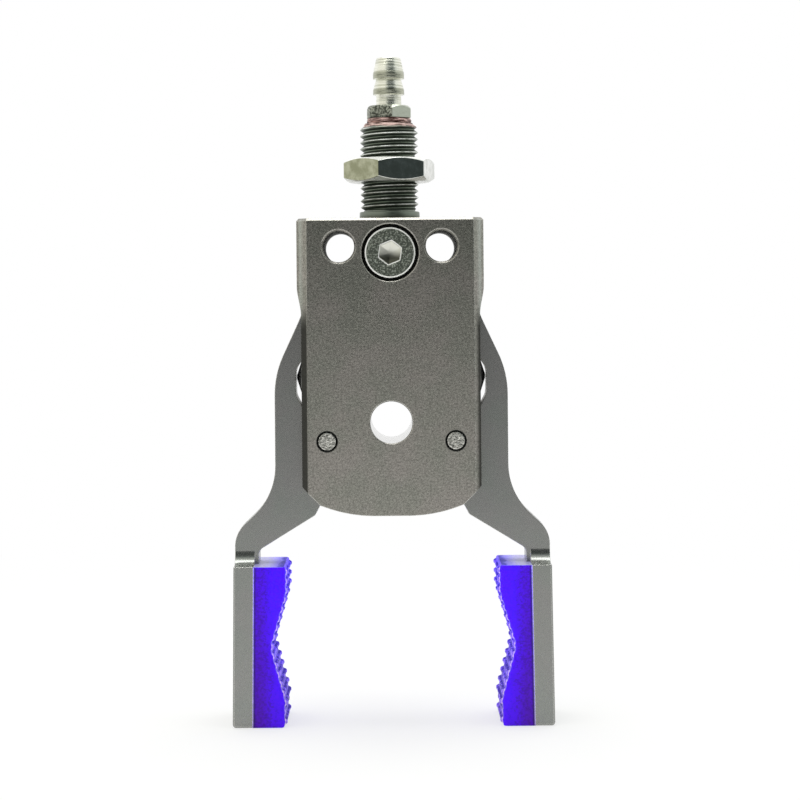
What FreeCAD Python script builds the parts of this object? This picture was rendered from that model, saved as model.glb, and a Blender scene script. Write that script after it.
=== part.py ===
"""A pneumatic mini gripper with two swinging arms, modelled as a parametric document.

Millimetres, +Z up along the stem, the front face towards -Y. Every piece is drawn with the
body's top face at height 0 and then lowered as a whole, so that the finished part has its
origin on the stem's axis at the lock nut's upper face, where the machine's plate bears.

Air from the hose barb runs down the hollow stem into a cross bore and drives two pistons
apart. Their rounded ends press the upper arms outwards, so the jaws below the pivots close.
Two small springs below the pivots open them again.
"""
import FreeCAD
import Part

import math
import os
import re

import Sketcher

# Driving sizes, in millimetres and degrees

SIZES = (
    ("body_width", 31.2, "width across the upper body"),
    ("body_depth", 18.0, "front face to back face"),
    ("body_height", 49.5, "top face to bottom"),
    ("edge_bevel", 1.7, "bevel along the four upright edges"),
    ("top_bevel", 0.4, "bevel round the top face"),
    ("waist_inset", 0.7, "how far the lower sides stand back"),
    ("waist_depth", 12.0, "top face to the start of the waist"),
    ("waist_slope", 3.4, "height over which the waist steps in"),
    ("waist_blend", 8.0, "radius of the waist's soft corners"),
    ("chin_bevel", 3.0, "cut across the body's lower corners"),
    ("chin_rise", 1.8, "how far the bottom rises towards the corners"),
    ("chin_run", 4.95, "width of each rising end of the bottom"),
    ("chin_blend", 24.0, "radius between the bottom and its rising ends"),
    ("fixing_spacing", 17.1, "between the two fixing holes"),
    ("fixing_diameter", 5.2, "fixing holes"),
    ("fixing_depth", 4.75, "top face to the fixing holes' axis"),
    ("centre_diameter", 7.0, "large hole through the body"),
    ("centre_depth", 34.0, "top face to the large hole's axis"),
    ("hole_bevel", 0.3, "bevel round holes that open on a face"),
    ("stem_diameter", 10.0, "outside of the stem's thread"),
    ("stem_length", 16.3, "top face to the stem's end"),
    ("stem_bevel", 0.6, "bevel at the stem's end"),
    ("collar_diameter", 10.3, "plain collar on the body"),
    ("collar_height", 1.3, "height of the collar"),
    ("relief_height", 0.5, "groove between collar and thread"),
    ("relief_cut", 0.55, "depth of that groove"),
    ("spigot_diameter", 8.0, "bore in the body that takes the stem"),
    ("spigot_depth", 12.0, "depth of that bore"),
    ("air_diameter", 2.4, "air way"),
    ("port_diameter", 5.0, "threads of the port and the stem screw"),
    ("port_length", 5.0, "depth of the port in the stem's end"),
    ("seal_wire", 1.3, "thickness of the stem's O-ring"),
    ("seal_depth", 9.6, "top face to the O-ring's middle"),
    ("seal_slack", 0.02, "gap between an O-ring and its groove's floor"),
    ("groove_room", 1.25, "width of an O-ring's groove for each millimetre of its thickness"),
    ("fit_gap", 0.05, "gap all round between fixed round pieces"),
    ("nut_across", 14.0, "lock nut across flats"),
    ("nut_thickness", 4.0, "lock nut"),
    ("nut_standoff", 6.3, "top face to the underside of the nut"),
    ("nut_bevel", 0.6, "height of the nut's corner bevels"),
    ("nut_countersink", 0.6, "depth of the countersinks in the nut's bore"),
    ("thread_half", 0.3, "stem's surface to the middle of its thread"),
    ("nut_turn", 16.5, "how far the nut is turned"),
    ("hexagon_across", 7.0, "barb fitting across flats"),
    ("hexagon_height", 2.2, "barb fitting's hexagon"),
    ("hexagon_turn", 37.4, "how far the fitting is turned"),
    ("hexagon_bevel", 0.35, "height of its corner bevel"),
    ("gasket_thickness", 0.8, "gasket under the hexagon"),
    ("gasket_diameter", 7.8, "gasket outside"),
    ("neck_diameter", 4.3, "barb fitting between its barbs"),
    ("neck_height", 1.9, "hexagon to the first barb"),
    ("barb_diameter", 5.3, "widest part of a barb"),
    ("barb_height", 2.7, "lower barb"),
    ("barb_band", 0.75, "straight part of the lower barb"),
    ("barb_collar", 0.85, "straight part of the upper barb"),
    ("nose_height", 2.75, "upper barb above its straight part"),
    ("nose_diameter", 4.1, "end of the fitting"),
    ("barb_bore", 2.0, "bore of the fitting"),
    ("barb_thread", 4.0, "length of the fitting's thread"),
    ("screw_depth", 5.8, "top face to the stem screw's axis"),
    ("head_diameter", 8.5, "stem screw's head"),
    ("head_height", 3.5, "stem screw's head"),
    ("head_bevel", 0.35, "bevel round the head"),
    ("head_recess", 0.1, "front face to the head"),
    ("counterbore_diameter", 9.5, "counterbore round the head"),
    ("socket_across", 3.5, "hexagon socket across flats"),
    ("socket_length", 2.0, "depth of the socket"),
    ("socket_turn", 22.0, "how far the screw is turned"),
    ("shank_length", 3.3, "stem screw below its head"),
    ("shank_room", 0.15, "gap round the stem screw and at its end"),
    ("pivot_spacing", 21.4, "between the two pivot axes"),
    ("pivot_depth", 37.1, "top face to the pivot axes"),
    ("pin_diameter", 3.0, "pivot pins"),
    ("pin_bevel", 0.25, "bevel at a pin's ends and round its hole"),
    ("pin_recess", 0.05, "face to the end of a pin"),
    ("bush_diameter", 4.6, "outside of the pivot bushes"),
    ("running_gap", 0.04, "gap all round between pin and bush"),
    ("eye_radius", 4.0, "arm round its pivot"),
    ("web_gap", 0.3, "between an arm's eye and the web beside it"),
    ("stop_gap", 0.1, "between an arm's tip and the web at rest"),
    ("slot_gap", 0.1, "each side of an arm in its slot"),
    ("slot_room", 0.6, "above an arm's tip in its slot"),
    ("slot_blend", 1.0, "rounding in the slots' corners"),
    ("shoulder_room", 1.9, "between the wide web and an arm's shoulder"),
    ("arm_thickness", 5.0, "front to back"),
    ("tip_height", 24.9, "pivot to the top of an arm"),
    ("tip_reach", 0.8, "pivot to the inner edge of an arm's tip, sideways"),
    ("tip_width", 2.5, "width of an arm at its top"),
    ("pocket_slope", 7.25, "height of the slope from the pocket up to the tip"),
    ("bow_height", 21.1, "pivot to the outer bend under the tip"),
    ("bow_reach", 4.3, "pivot to that bend, sideways"),
    ("flank_height", 11.0, "pivot to the upper end of the straight flank"),
    ("flank_reach", 9.0, "pivot to the straight outer flank"),
    ("flank_drop", 9.3, "pivot down to the lower end of the flank"),
    ("pocket_reach", 5.4, "pivot to the pocket's floor, sideways"),
    ("pocket_above", 1.35, "piston's axis to the upper end of the pocket's floor"),
    ("pocket_below", 2.95, "piston's axis to the lower end of the pocket's floor"),
    ("shoulder_reach", 3.6, "pivot to the foot of the pocket's slope"),
    ("heel_angle", 28.0, "lean of the arm's inner edge"),
    ("heel_drop", 12.85, "pivot down to the heel"),
    ("neck_drop", 18.7, "pivot down to the inside of the neck"),
    ("neck_reach", 11.9, "pivot to the inside of the neck, sideways"),
    ("elbow_drop", 15.85, "pivot down to the outer elbow"),
    ("tip_blend", 0.8, "rounding of the tip's corners"),
    ("bow_blend", 20.0, "rounding of the outer bend under the tip"),
    ("flank_blend", 16.0, "rounding where the flank begins"),
    ("knee_blend", 11.5, "rounding where the flank ends"),
    ("elbow_blend", 5.0, "rounding of the outer elbow"),
    ("pocket_blend", 2.5, "rounding of the pocket and the tip's inner bend"),
    ("heel_blend", 1.0, "rounding of the heel and the shoulder"),
    ("neck_blend", 1.5, "rounding inside the neck"),
    ("jaw_drop", 21.0, "pivot down to the top of the jaw"),
    ("jaw_reach", 12.6, "pivot to the jaw's inner face, sideways"),
    ("jaw_thickness", 3.3, "jaw plate"),
    ("jaw_height", 26.8, "jaw plate"),
    ("jaw_depth", 14.0, "jaw plate, front to back"),
    ("jaw_splay", 0.7, "lean of the open jaws"),
    ("jaw_round", 0.6, "rounding of the jaw plate's lower outer edge"),
    ("jaw_bevel", 0.25, "bevel along the jaw plate's upright outer edges"),
    ("root_radius", 2.2, "hollow between arm and jaw plate"),
    ("piston_diameter", 5.5, "pistons"),
    ("piston_depth", 26.65, "top face to the pistons' axis"),
    ("piston_gap", 2.0, "between the pistons' inner ends at rest"),
    ("piston_play", 0.05, "gap all round a piston"),
    ("dome_radius", 2.0, "rounding at the tip of a piston's blunt end"),
    ("dome_slope", 18.0, "lean of that end's cone from a flat face"),
    ("dome_gap", 0.1, "between a piston and its arm at rest"),
    ("ring_wire", 0.88, "thickness of a piston's O-ring"),
    ("ring_reach", 2.6, "body's middle to the O-ring's middle"),
    ("spring_drop", 5.9, "pivots down to the springs' axis"),
    ("spring_diameter", 3.4, "outside of a spring"),
    ("spring_wire", 0.5, "wire of a spring"),
    ("spring_coils", 6.0, "coils of a spring"),
    ("spring_inner", 1.4, "body's middle to the bottom of a spring's bore"),
    ("spring_room", 0.3, "gap all round a spring in its bore"),
    ("spring_gap", 0.1, "gap at each end of a spring"),
    ("seat_reach", 10.5, "body's middle to a spring's seat in the arm"),
    ("pad_thickness", 5.35, "pad at its thickest"),
    ("groove_depth", 2.5, "depth of the V in a pad"),
    ("groove_drop", 13.5, "top of the pad to the bottom of the V"),
    ("groove_half", 8.9, "half the height of the V"),
    ("groove_blend", 4.0, "rounding at the bottom of the V"),
    ("crest_blend", 3.0, "rounding at the V's edges"),
    ("nub_pitch", 1.56, "between nubs"),
    ("nub_diameter", 1.15, "foot of a nub"),
    ("nub_height", 0.48, "height of a nub"),
    ("nub_taper", 0.55, "top of a nub for each millimetre of its foot"),
    ("nub_margin", 0.75, "edge of the pad to the middle of the first nub"),
)

doc = FreeCAD.newDocument("MiniGripper")
sheet = doc.addObject("Spreadsheet::Sheet", "Sizes")
for row, (alias, value, meaning) in enumerate(SIZES, start=1):
    sheet.set(f"A{row}", meaning)
    sheet.set(f"B{row}", str(value))
    sheet.setAlias(f"B{row}", alias)
doc.recompute()
ALIASES = {alias for alias, value, meaning in SIZES}

CLOSE = 0.01
OVERLAP = 1.0
PIVOT = "pivot_spacing / 2"

# Helpers that bind geometry to the sheet


def formula(text):
    """An expression with each size's name pointed at the sheet."""
    return re.sub(r"[a-z_]+", lambda word: f"Sizes.{word[0]}" if word[0] in ALIASES else word[0], text)


def amount(text):
    """The present value of an expression."""
    return float(sheet.evalExpression(formula(text)))


def bind(target, name, text):
    """Tie a property to an expression."""
    target.setExpression(name, formula(text))


def lower(piece, height="0"):
    """Lower a piece from the body's top face, so that the nut's upper face comes to height 0."""
    bind(piece, "Placement.Base.z", f"{height} - nut_standoff - nut_thickness")


def new_body(label):
    """An empty body with a label of its own."""
    body = doc.addObject("PartDesign::Body", label)
    body.Label = label
    lower(body)
    return body


def sketch_on(body, plane_role, label, away="0", up="0"):
    """A sketch on one of the body's origin planes, moved along its normal and along its own Y."""
    sketch = body.newObject("Sketcher::SketchObject", label)
    plane = next(item for item in body.Origin.OriginFeatures if item.Role == plane_role)
    sketch.AttachmentSupport = [(plane, "")]
    sketch.MapMode = "FlatFace"
    bind(sketch, "AttachmentOffset.Base.z", away)
    bind(sketch, "AttachmentOffset.Base.y", up)
    return sketch


def hold_point(sketch, line, end, across, up):
    """Fix one end of a line, or a circle's centre, at two expressions."""
    for kind, text in (("DistanceX", across), ("DistanceY", up)):
        index = sketch.addConstraint(Sketcher.Constraint(kind, -1, 1, line, end, amount(text)))
        bind(sketch, f"Constraints[{index}]", text)


def hold_radius(sketch, curve, radius):
    """Fix the radius of a circle or an arc at an expression."""
    index = sketch.addConstraint(Sketcher.Constraint("Radius", curve, amount(radius)))
    bind(sketch, f"Constraints[{index}]", radius)


def arc_between(start, end, radius, bulge):
    """An arc of a given radius; bulge 1 swells to the left of the way from start to end."""
    chord = end - start
    half = chord.Length / 2
    rise = radius - math.sqrt(radius ** 2 - half ** 2)
    left = FreeCAD.Vector(-chord.y, chord.x, 0).normalize()
    return Part.Arc(start, (start + end) / 2 + left * rise * bulge, end)


def draw_outline(sketch, corners, arcs=None):
    """A closed outline through corners given as pairs of expressions.

    arcs says which stretches are arcs: the number of the corner that one starts from,
    with its radius and the side to which it bulges.
    """
    arcs = arcs or {}
    points = [FreeCAD.Vector(amount(across), amount(up), 0) for across, up in corners]
    count = len(points)
    first = sketch.GeometryCount
    for step, start in enumerate(points):
        end = points[(step + 1) % count]
        if step in arcs:
            radius, bulge = arcs[step]
            sketch.addGeometry(arc_between(start, end, amount(radius), bulge))
        else:
            sketch.addGeometry(Part.LineSegment(start, end))
    ends = {}
    for step in range(count):
        backwards = step in arcs and arcs[step][1] > 0
        ends[step] = (2, 1) if backwards else (1, 2)
    for step in range(count):
        following = (step + 1) % count
        meeting = (first + step, ends[step][1], first + following, ends[following][0])
        sketch.addConstraint(Sketcher.Constraint("Coincident", *meeting))
        hold_point(sketch, first + step, ends[step][0], *corners[step])
    for step, (radius, bulge) in arcs.items():
        hold_radius(sketch, first + step, radius)


def draw_circle(sketch, across, up, radius):
    """A circle whose centre and radius are expressions."""
    centre = FreeCAD.Vector(amount(across), amount(up), 0)
    circle = sketch.addGeometry(Part.Circle(centre, FreeCAD.Vector(0, 0, 1), amount(radius)))
    hold_point(sketch, circle, 3, across, up)
    hold_radius(sketch, circle, radius)


def draw_hexagon(sketch, across, up, flats, angle):
    """A hexagon of a given size across flats, turned by an angle from the first axis."""
    corner = f"{flats} / (2 * cos(30))"
    draw_outline(sketch, [
        (f"{across} + {corner} * cos({angle} + {side * 60})", f"{up} + {corner} * sin({angle} + {side * 60})")
        for side in range(6)
    ])


def extrude(body, sketch, length, label, side="Symmetric"):
    """Pad a sketch."""
    feature = body.newObject("PartDesign::Pad", label)
    feature.Profile = sketch
    feature.SideType = side
    bind(feature, "Length", length)
    doc.recompute()


def cut(body, sketch, length, label, side="Symmetric", backwards=False):
    """Pocket a sketch, and make sure that it took something away."""
    before = body.Shape.Volume
    feature = body.newObject("PartDesign::Pocket", label)
    feature.Profile = sketch
    feature.SideType = side
    feature.Reversed = backwards
    bind(feature, "Length", length)
    doc.recompute()
    if body.Shape.Volume >= before:
        raise RuntimeError(f"{label} cut nothing from {body.Label}")


def spin(body, sketch, axis, label, kind="Revolution"):
    """Revolve a sketch about one of its own axes, as solid or, for a Groove, as a cut."""
    feature = body.newObject(f"PartDesign::{kind}", label)
    feature.Profile = sketch
    feature.ReferenceAxis = (sketch, [axis])
    feature.Angle = 360
    doc.recompute()


def dress(body, kind, size, label, test):
    """Fillet or chamfer the edges of the body's present shape that pass a test."""
    base = body.Tip
    names = [f"Edge{number}" for number, edge in enumerate(base.Shape.Edges, start=1) if test(edge)]
    if not names:
        raise RuntimeError(f"{label} found no edges on {body.Label}")
    feature = body.newObject(f"PartDesign::{kind}", label)
    feature.Base = (base, names)
    bind(feature, "Radius" if kind == "Fillet" else "Size", size)
    body.Tip = feature
    doc.recompute()
    if "Invalid" in feature.State:
        raise RuntimeError(f"{label} could not be made on {body.Label}")


def along_y(edge):
    """Whether an edge runs straight from front to back."""
    start, end = edge.Vertexes[0].Point, edge.Vertexes[-1].Point
    return abs(start.x - end.x) < CLOSE and abs(start.z - end.z) < CLOSE and abs(start.y - end.y) > CLOSE


def round_corners(body, corners, radius, label):
    """Fillet the front-to-back edges that stand on given corners of the front outline."""
    spots = [(amount(across), amount(up)) for across, up in corners]

    def stands_there(edge):
        middle = edge.CenterOfMass
        return along_y(edge) and any(abs(middle.x - x) < CLOSE and abs(middle.z - z) < CLOSE for x, z in spots)

    dress(body, "Fillet", radius, label, stands_there)


def rims(radius):
    """A test for the round rims of one radius on the front and back faces."""
    def is_rim(edge):
        if not isinstance(edge.Curve, Part.Circle) or len(edge.Vertexes) != 1:
            return False
        centre = edge.Curve.Center
        on_face = abs(abs(centre.y) - amount("body_depth / 2")) < CLOSE
        return on_face and abs(edge.Curve.Radius - amount(radius)) < CLOSE
    return is_rim


def mirrored(piece, label):
    """The left hand piece, as the mirror image of the right hand one."""
    twin = doc.addObject("Part::Mirroring", label)
    twin.Source = piece
    twin.Normal = FreeCAD.Vector(1, 0, 0)
    twin.Label = label
    return twin


# Body

WIDE_WEB = f"({PIVOT} + tip_reach - stop_gap)"
NARROW_WEB = f"({PIVOT} - eye_radius - web_gap)"
SLOT_TOP = "(slot_room + tip_height - pivot_depth)"
WEB_STEP = "(eye_radius + shoulder_room - pivot_depth)"


def both_sides(right):
    """Corners down the right side, then the same up the left."""
    return right + [(f"-({across})", up) for across, up in reversed(right)]


def make_body():
    """The milled block: outline, bevels, arm slots, bores and holes."""
    body = new_body("body")
    waist = "body_width / 2 - waist_inset"
    rising = "chin_rise - body_height"
    chin = f"{waist} - chin_bevel - chin_run"
    block = sketch_on(body, "XZ_Plane", "body_outline")
    draw_outline(block, both_sides([
        ("body_width / 2", "0"),
        ("body_width / 2", "-waist_depth"),
        (waist, "-(waist_depth + waist_slope)"),
        (waist, f"{rising} + chin_bevel"),
        (f"{waist} - chin_bevel", rising),
        (chin, "-body_height"),
    ]))
    extrude(body, block, "body_depth", "body_block")
    waist_corners = [("body_width / 2", "-waist_depth"), (waist, "-(waist_depth + waist_slope)")]
    round_corners(body, both_sides(waist_corners), "waist_blend", "waist_rounding")
    round_corners(body, both_sides([(chin, "-body_height")]), "chin_blend", "chin_rounding")

    edges = sketch_on(body, "XY_Plane", "upright_edges")
    for x_side in ("", "-"):
        for y_side in ("", "-"):
            draw_outline(edges, [
                (f"{x_side}(body_width / 2 + {OVERLAP})", f"{y_side}(body_depth / 2 + {OVERLAP})"),
                (f"{x_side}(body_width / 2 - edge_bevel - {OVERLAP})", f"{y_side}(body_depth / 2 + {OVERLAP})"),
                (f"{x_side}(body_width / 2 + {OVERLAP})", f"{y_side}(body_depth / 2 - edge_bevel - {OVERLAP})"),
            ])
    cut(body, edges, f"2 * body_height + {OVERLAP}", "upright_bevels")
    dress(body, "Chamfer", "top_bevel", "top_edge", lambda edge: abs(edge.BoundBox.ZMin) < CLOSE)

    slots = sketch_on(body, "XZ_Plane", "arm_slots")
    for side in ("", "-"):
        draw_outline(slots, [
            (f"{side}{WIDE_WEB}", SLOT_TOP),
            (f"{side}(body_width / 2 + {OVERLAP})", SLOT_TOP),
            (f"{side}(body_width / 2 + {OVERLAP})", f"-(body_height + {OVERLAP})"),
            (f"{side}{NARROW_WEB}", f"-(body_height + {OVERLAP})"),
            (f"{side}{NARROW_WEB}", WEB_STEP),
            (f"{side}{WIDE_WEB}", WEB_STEP),
        ])
    cut(body, slots, "arm_thickness + 2 * slot_gap", "slots")
    inner_corners = both_sides([(WIDE_WEB, SLOT_TOP), (NARROW_WEB, WEB_STEP)])
    round_corners(body, inner_corners, "slot_blend", "slot_rounding")

    spigot = sketch_on(body, "XY_Plane", "spigot_circle")
    draw_circle(spigot, "0", "0", "spigot_diameter / 2")
    cut(body, spigot, "spigot_depth", "spigot_bore", side="One side")
    air = sketch_on(body, "XY_Plane", "air_circle")
    draw_circle(air, "0", "0", "air_diameter / 2")
    cut(body, air, "piston_depth", "air_way", side="One side")
    cylinder = sketch_on(body, "YZ_Plane", "cylinder_circle")
    draw_circle(cylinder, "0", "-piston_depth", "piston_diameter / 2 + piston_play")
    cut(body, cylinder, f"body_width + {OVERLAP}", "piston_bore")
    for side, backwards in (("", True), ("-", False)):
        seat = sketch_on(body, "YZ_Plane", "spring_circle", away=f"{side}spring_inner")
        draw_circle(seat, "0", "-(pivot_depth + spring_drop)", "spring_diameter / 2 + spring_room")
        cut(body, seat, "body_width / 2", "spring_bore", side="One side", backwards=backwards)

    recess = sketch_on(body, "XZ_Plane", "counterbore_circle", away="body_depth / 2 - head_recess - head_height")
    draw_circle(recess, "0", "-screw_depth", "counterbore_diameter / 2")
    cut(body, recess, "body_depth / 2", "counterbore", side="One side", backwards=True)
    passage = sketch_on(body, "XZ_Plane", "passage_circle")
    draw_circle(passage, "0", "-screw_depth", "port_diameter / 2 + shank_room")
    cut(body, passage, "body_depth / 2", "screw_passage", side="One side", backwards=True)

    holes = sketch_on(body, "XZ_Plane", "through_holes")
    for side in ("", "-"):
        draw_circle(holes, f"{side}fixing_spacing / 2", "-fixing_depth", "fixing_diameter / 2")
        draw_circle(holes, f"{side}{PIVOT}", "-pivot_depth", "pin_diameter / 2")
    draw_circle(holes, "0", "-centre_depth", "centre_diameter / 2")
    cut(body, holes, f"body_depth + {OVERLAP}", "front_to_back_holes")
    dress(body, "Chamfer", "hole_bevel", "fixing_rims", rims("fixing_diameter / 2"))
    dress(body, "Chamfer", "hole_bevel / 2", "centre_rims", rims("centre_diameter / 2"))
    dress(body, "Chamfer", "hole_bevel / 2", "counterbore_rim", rims("counterbore_diameter / 2"))
    dress(body, "Chamfer", "pin_bevel", "pin_rims", rims("pin_diameter / 2"))
    return body


# Stem, nut and fittings


def make_stem():
    """Hollow stem, turned in one piece: spigot with an O-ring groove, collar and threaded end.

    Inside the nut, stem and nut meet at the middle of the thread.
    """
    body = new_body("threaded_stem")
    spigot = "spigot_diameter / 2 - fit_gap"
    floor = "spigot_diameter / 2 - seal_wire - 2 * seal_slack"
    thread = "stem_diameter / 2"
    grip = "(nut_standoff + nut_countersink - thread_half)"
    grip_end = "(nut_standoff + nut_thickness)"
    profile = sketch_on(body, "XZ_Plane", "stem_profile")
    draw_outline(profile, [
        ("air_diameter / 2", "fit_gap - spigot_depth"),
        (spigot, "fit_gap - spigot_depth"),
        (spigot, "-seal_depth - seal_wire * groove_room / 2"),
        (floor, "-seal_depth - seal_wire * groove_room / 2"),
        (floor, "-seal_depth + seal_wire * groove_room / 2"),
        (spigot, "-seal_depth + seal_wire * groove_room / 2"),
        (spigot, "0"),
        ("collar_diameter / 2", "0"),
        ("collar_diameter / 2", "collar_height"),
        (f"{thread} - relief_cut", "collar_height"),
        (f"{thread} - relief_cut", "collar_height + relief_height"),
        (thread, "collar_height + relief_height"),
        (thread, grip),
        (f"{thread} - thread_half", grip),
        (f"{thread} - thread_half", grip_end),
        (thread, grip_end),
        (thread, "stem_length - stem_bevel"),
        (f"{thread} - stem_bevel", "stem_length"),
        ("port_diameter / 2", "stem_length"),
        ("port_diameter / 2", "stem_length - port_length"),
        ("air_diameter / 2", "stem_length - port_length"),
    ])
    spin(body, profile, "V_Axis", "stem_turning")
    shank_end = "body_depth / 2 - head_recess - head_height - shank_length"
    tapping = sketch_on(body, "XZ_Plane", "tapping_circle", away=f"{shank_end} - shank_room")
    draw_circle(tapping, "0", "-screw_depth", "port_diameter / 2")
    cut(body, tapping, "spigot_diameter / 2", "screw_hole", side="One side", backwards=True)
    return body


def make_stem_ring():
    """O-ring on the stem's spigot."""
    ring = doc.addObject("Part::Torus", "stem_ring")
    ring.Label = "stem_ring"
    bind(ring, "Radius1", "spigot_diameter / 2 - seal_slack - seal_wire / 2")
    bind(ring, "Radius2", "seal_wire / 2")
    lower(ring, "-seal_depth")
    return ring


def make_stem_screw():
    """Low socket-head screw that holds the stem, lying along Y in the counterbore."""
    body = new_body("stem_screw")
    face = "head_recess - body_depth / 2"
    under = f"{face} + head_height"
    end = f"{under} + shank_length"
    shank = "port_diameter / 2 - fit_gap"
    profile = sketch_on(body, "YZ_Plane", "screw_profile", up="-screw_depth")
    draw_outline(profile, [
        (face, "0"),
        (face, "head_diameter / 2 - head_bevel"),
        (f"{face} + head_bevel", "head_diameter / 2"),
        (under, "head_diameter / 2"),
        (under, shank),
        (f"{end} - head_bevel", shank),
        (end, f"{shank} - head_bevel"),
        (end, "0"),
    ])
    spin(body, profile, "H_Axis", "screw_turning")
    socket = sketch_on(body, "XZ_Plane", "socket_hexagon", away="body_depth / 2 - head_recess")
    draw_hexagon(socket, "0", "-screw_depth", "socket_across", "socket_turn")
    cut(body, socket, "socket_length", "socket", side="One side")
    return body


def bevel_hexagon(body, flats, bevel, base, top, label):
    """Turn a hexagon's corners to the bevel that a lathe leaves, at its top and, if given, its base."""
    flat = f"{flats} / 2"
    corner = f"{flats} / (2 * cos(30))"
    outside = f"({corner} + {OVERLAP})"
    fall = f"{bevel} * ({outside} - {flat}) / ({corner} - {flat})"
    profile = sketch_on(body, "XZ_Plane", f"{label}_profile")
    draw_outline(profile, [(flat, top), (outside, top), (outside, f"{top} - {fall}")])
    if base is not None:
        draw_outline(profile, [(flat, base), (outside, base), (outside, f"{base} + {fall}")])
    spin(body, profile, "V_Axis", label, kind="Groove")


def make_lock_nut():
    """Thin hexagon nut, bevelled on both sides."""
    body = new_body("lock_nut")
    top = "nut_standoff + nut_thickness"
    hexagon = sketch_on(body, "XY_Plane", "nut_hexagon", away="nut_standoff")
    draw_hexagon(hexagon, "0", "0", "nut_across", "nut_turn")
    extrude(body, hexagon, "nut_thickness", "nut_block", side="One side")
    bevel_hexagon(body, "nut_across", "nut_bevel", "nut_standoff", top, "nut_corners")
    bore = sketch_on(body, "XY_Plane", "nut_bore_circle", away=top)
    draw_circle(bore, "0", "0", "stem_diameter / 2 - thread_half + fit_gap")
    cut(body, bore, "nut_thickness", "nut_bore", side="One side")
    bore_radius = amount("stem_diameter / 2 - thread_half + fit_gap")
    dress(body, "Chamfer", "nut_countersink", "nut_countersinks", lambda edge: (
        isinstance(edge.Curve, Part.Circle) and abs(edge.Curve.Radius - bore_radius) < CLOSE
    ))
    return body


def make_barb():
    """Hose fitting, turned from hexagon bar: thread, hexagon, neck and two barbs."""
    body = new_body("hose_barb")
    base = "stem_length + gasket_thickness"
    shoulder = f"{base} + hexagon_height"
    first = f"{shoulder} + neck_height"
    second = f"{first} + barb_height"
    collar = f"{second} + barb_collar"
    thread = "port_diameter / 2 - fit_gap"
    profile = sketch_on(body, "XZ_Plane", "barb_profile")
    draw_outline(profile, [
        ("barb_bore / 2", f"{base} - barb_thread"),
        (thread, f"{base} - barb_thread"),
        (thread, shoulder),
        ("neck_diameter / 2", shoulder),
        ("neck_diameter / 2", first),
        ("barb_diameter / 2", first),
        ("barb_diameter / 2", f"{first} + barb_band"),
        ("neck_diameter / 2", second),
        ("barb_diameter / 2", second),
        ("barb_diameter / 2", collar),
        ("nose_diameter / 2", f"{collar} + nose_height"),
        ("barb_bore / 2", f"{collar} + nose_height"),
    ])
    spin(body, profile, "V_Axis", "barb_turning")
    hexagon = sketch_on(body, "XY_Plane", "barb_hexagon", away=base)
    draw_hexagon(hexagon, "0", "0", "hexagon_across", "hexagon_turn")
    draw_circle(hexagon, "0", "0", "barb_bore / 2")
    extrude(body, hexagon, "hexagon_height", "barb_grip", side="One side")
    bevel_hexagon(body, "hexagon_across", "hexagon_bevel", None, shoulder, "barb_corners")
    return body


def make_ring(label, height, thickness, inner, outer):
    """A flat ring round the stem's axis."""
    body = new_body(label)
    circles = sketch_on(body, "XY_Plane", f"{label}_circles", away=height)
    draw_circle(circles, "0", "0", inner)
    draw_circle(circles, "0", "0", outer)
    extrude(body, circles, thickness, f"{label}_ring", side="One side")
    return body


# Pivots


def make_pin():
    """Pivot pin through the body, its ends just below the faces."""
    body = new_body("right_pivot_pin")
    circle = sketch_on(body, "XZ_Plane", "pin_circle")
    draw_circle(circle, PIVOT, "-pivot_depth", "pin_diameter / 2")
    extrude(body, circle, "body_depth - 2 * pin_recess", "pin_rod")
    dress(body, "Chamfer", "pin_bevel / 2", "pin_ends", lambda edge: isinstance(edge.Curve, Part.Circle))
    return body


def make_bush():
    """Plain bush pressed into the arm, running on the pin."""
    body = new_body("right_pivot_bush")
    circles = sketch_on(body, "XZ_Plane", "bush_circles")
    draw_circle(circles, PIVOT, "-pivot_depth", "bush_diameter / 2")
    draw_circle(circles, PIVOT, "-pivot_depth", "pin_diameter / 2 + running_gap")
    extrude(body, circles, "arm_thickness", "bush_tube")
    return body


# Arms


def from_pivot(across, up):
    """A corner given from the right pivot's axis."""
    return (f"{PIVOT} + {across}", f"{up} - pivot_depth")


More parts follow.
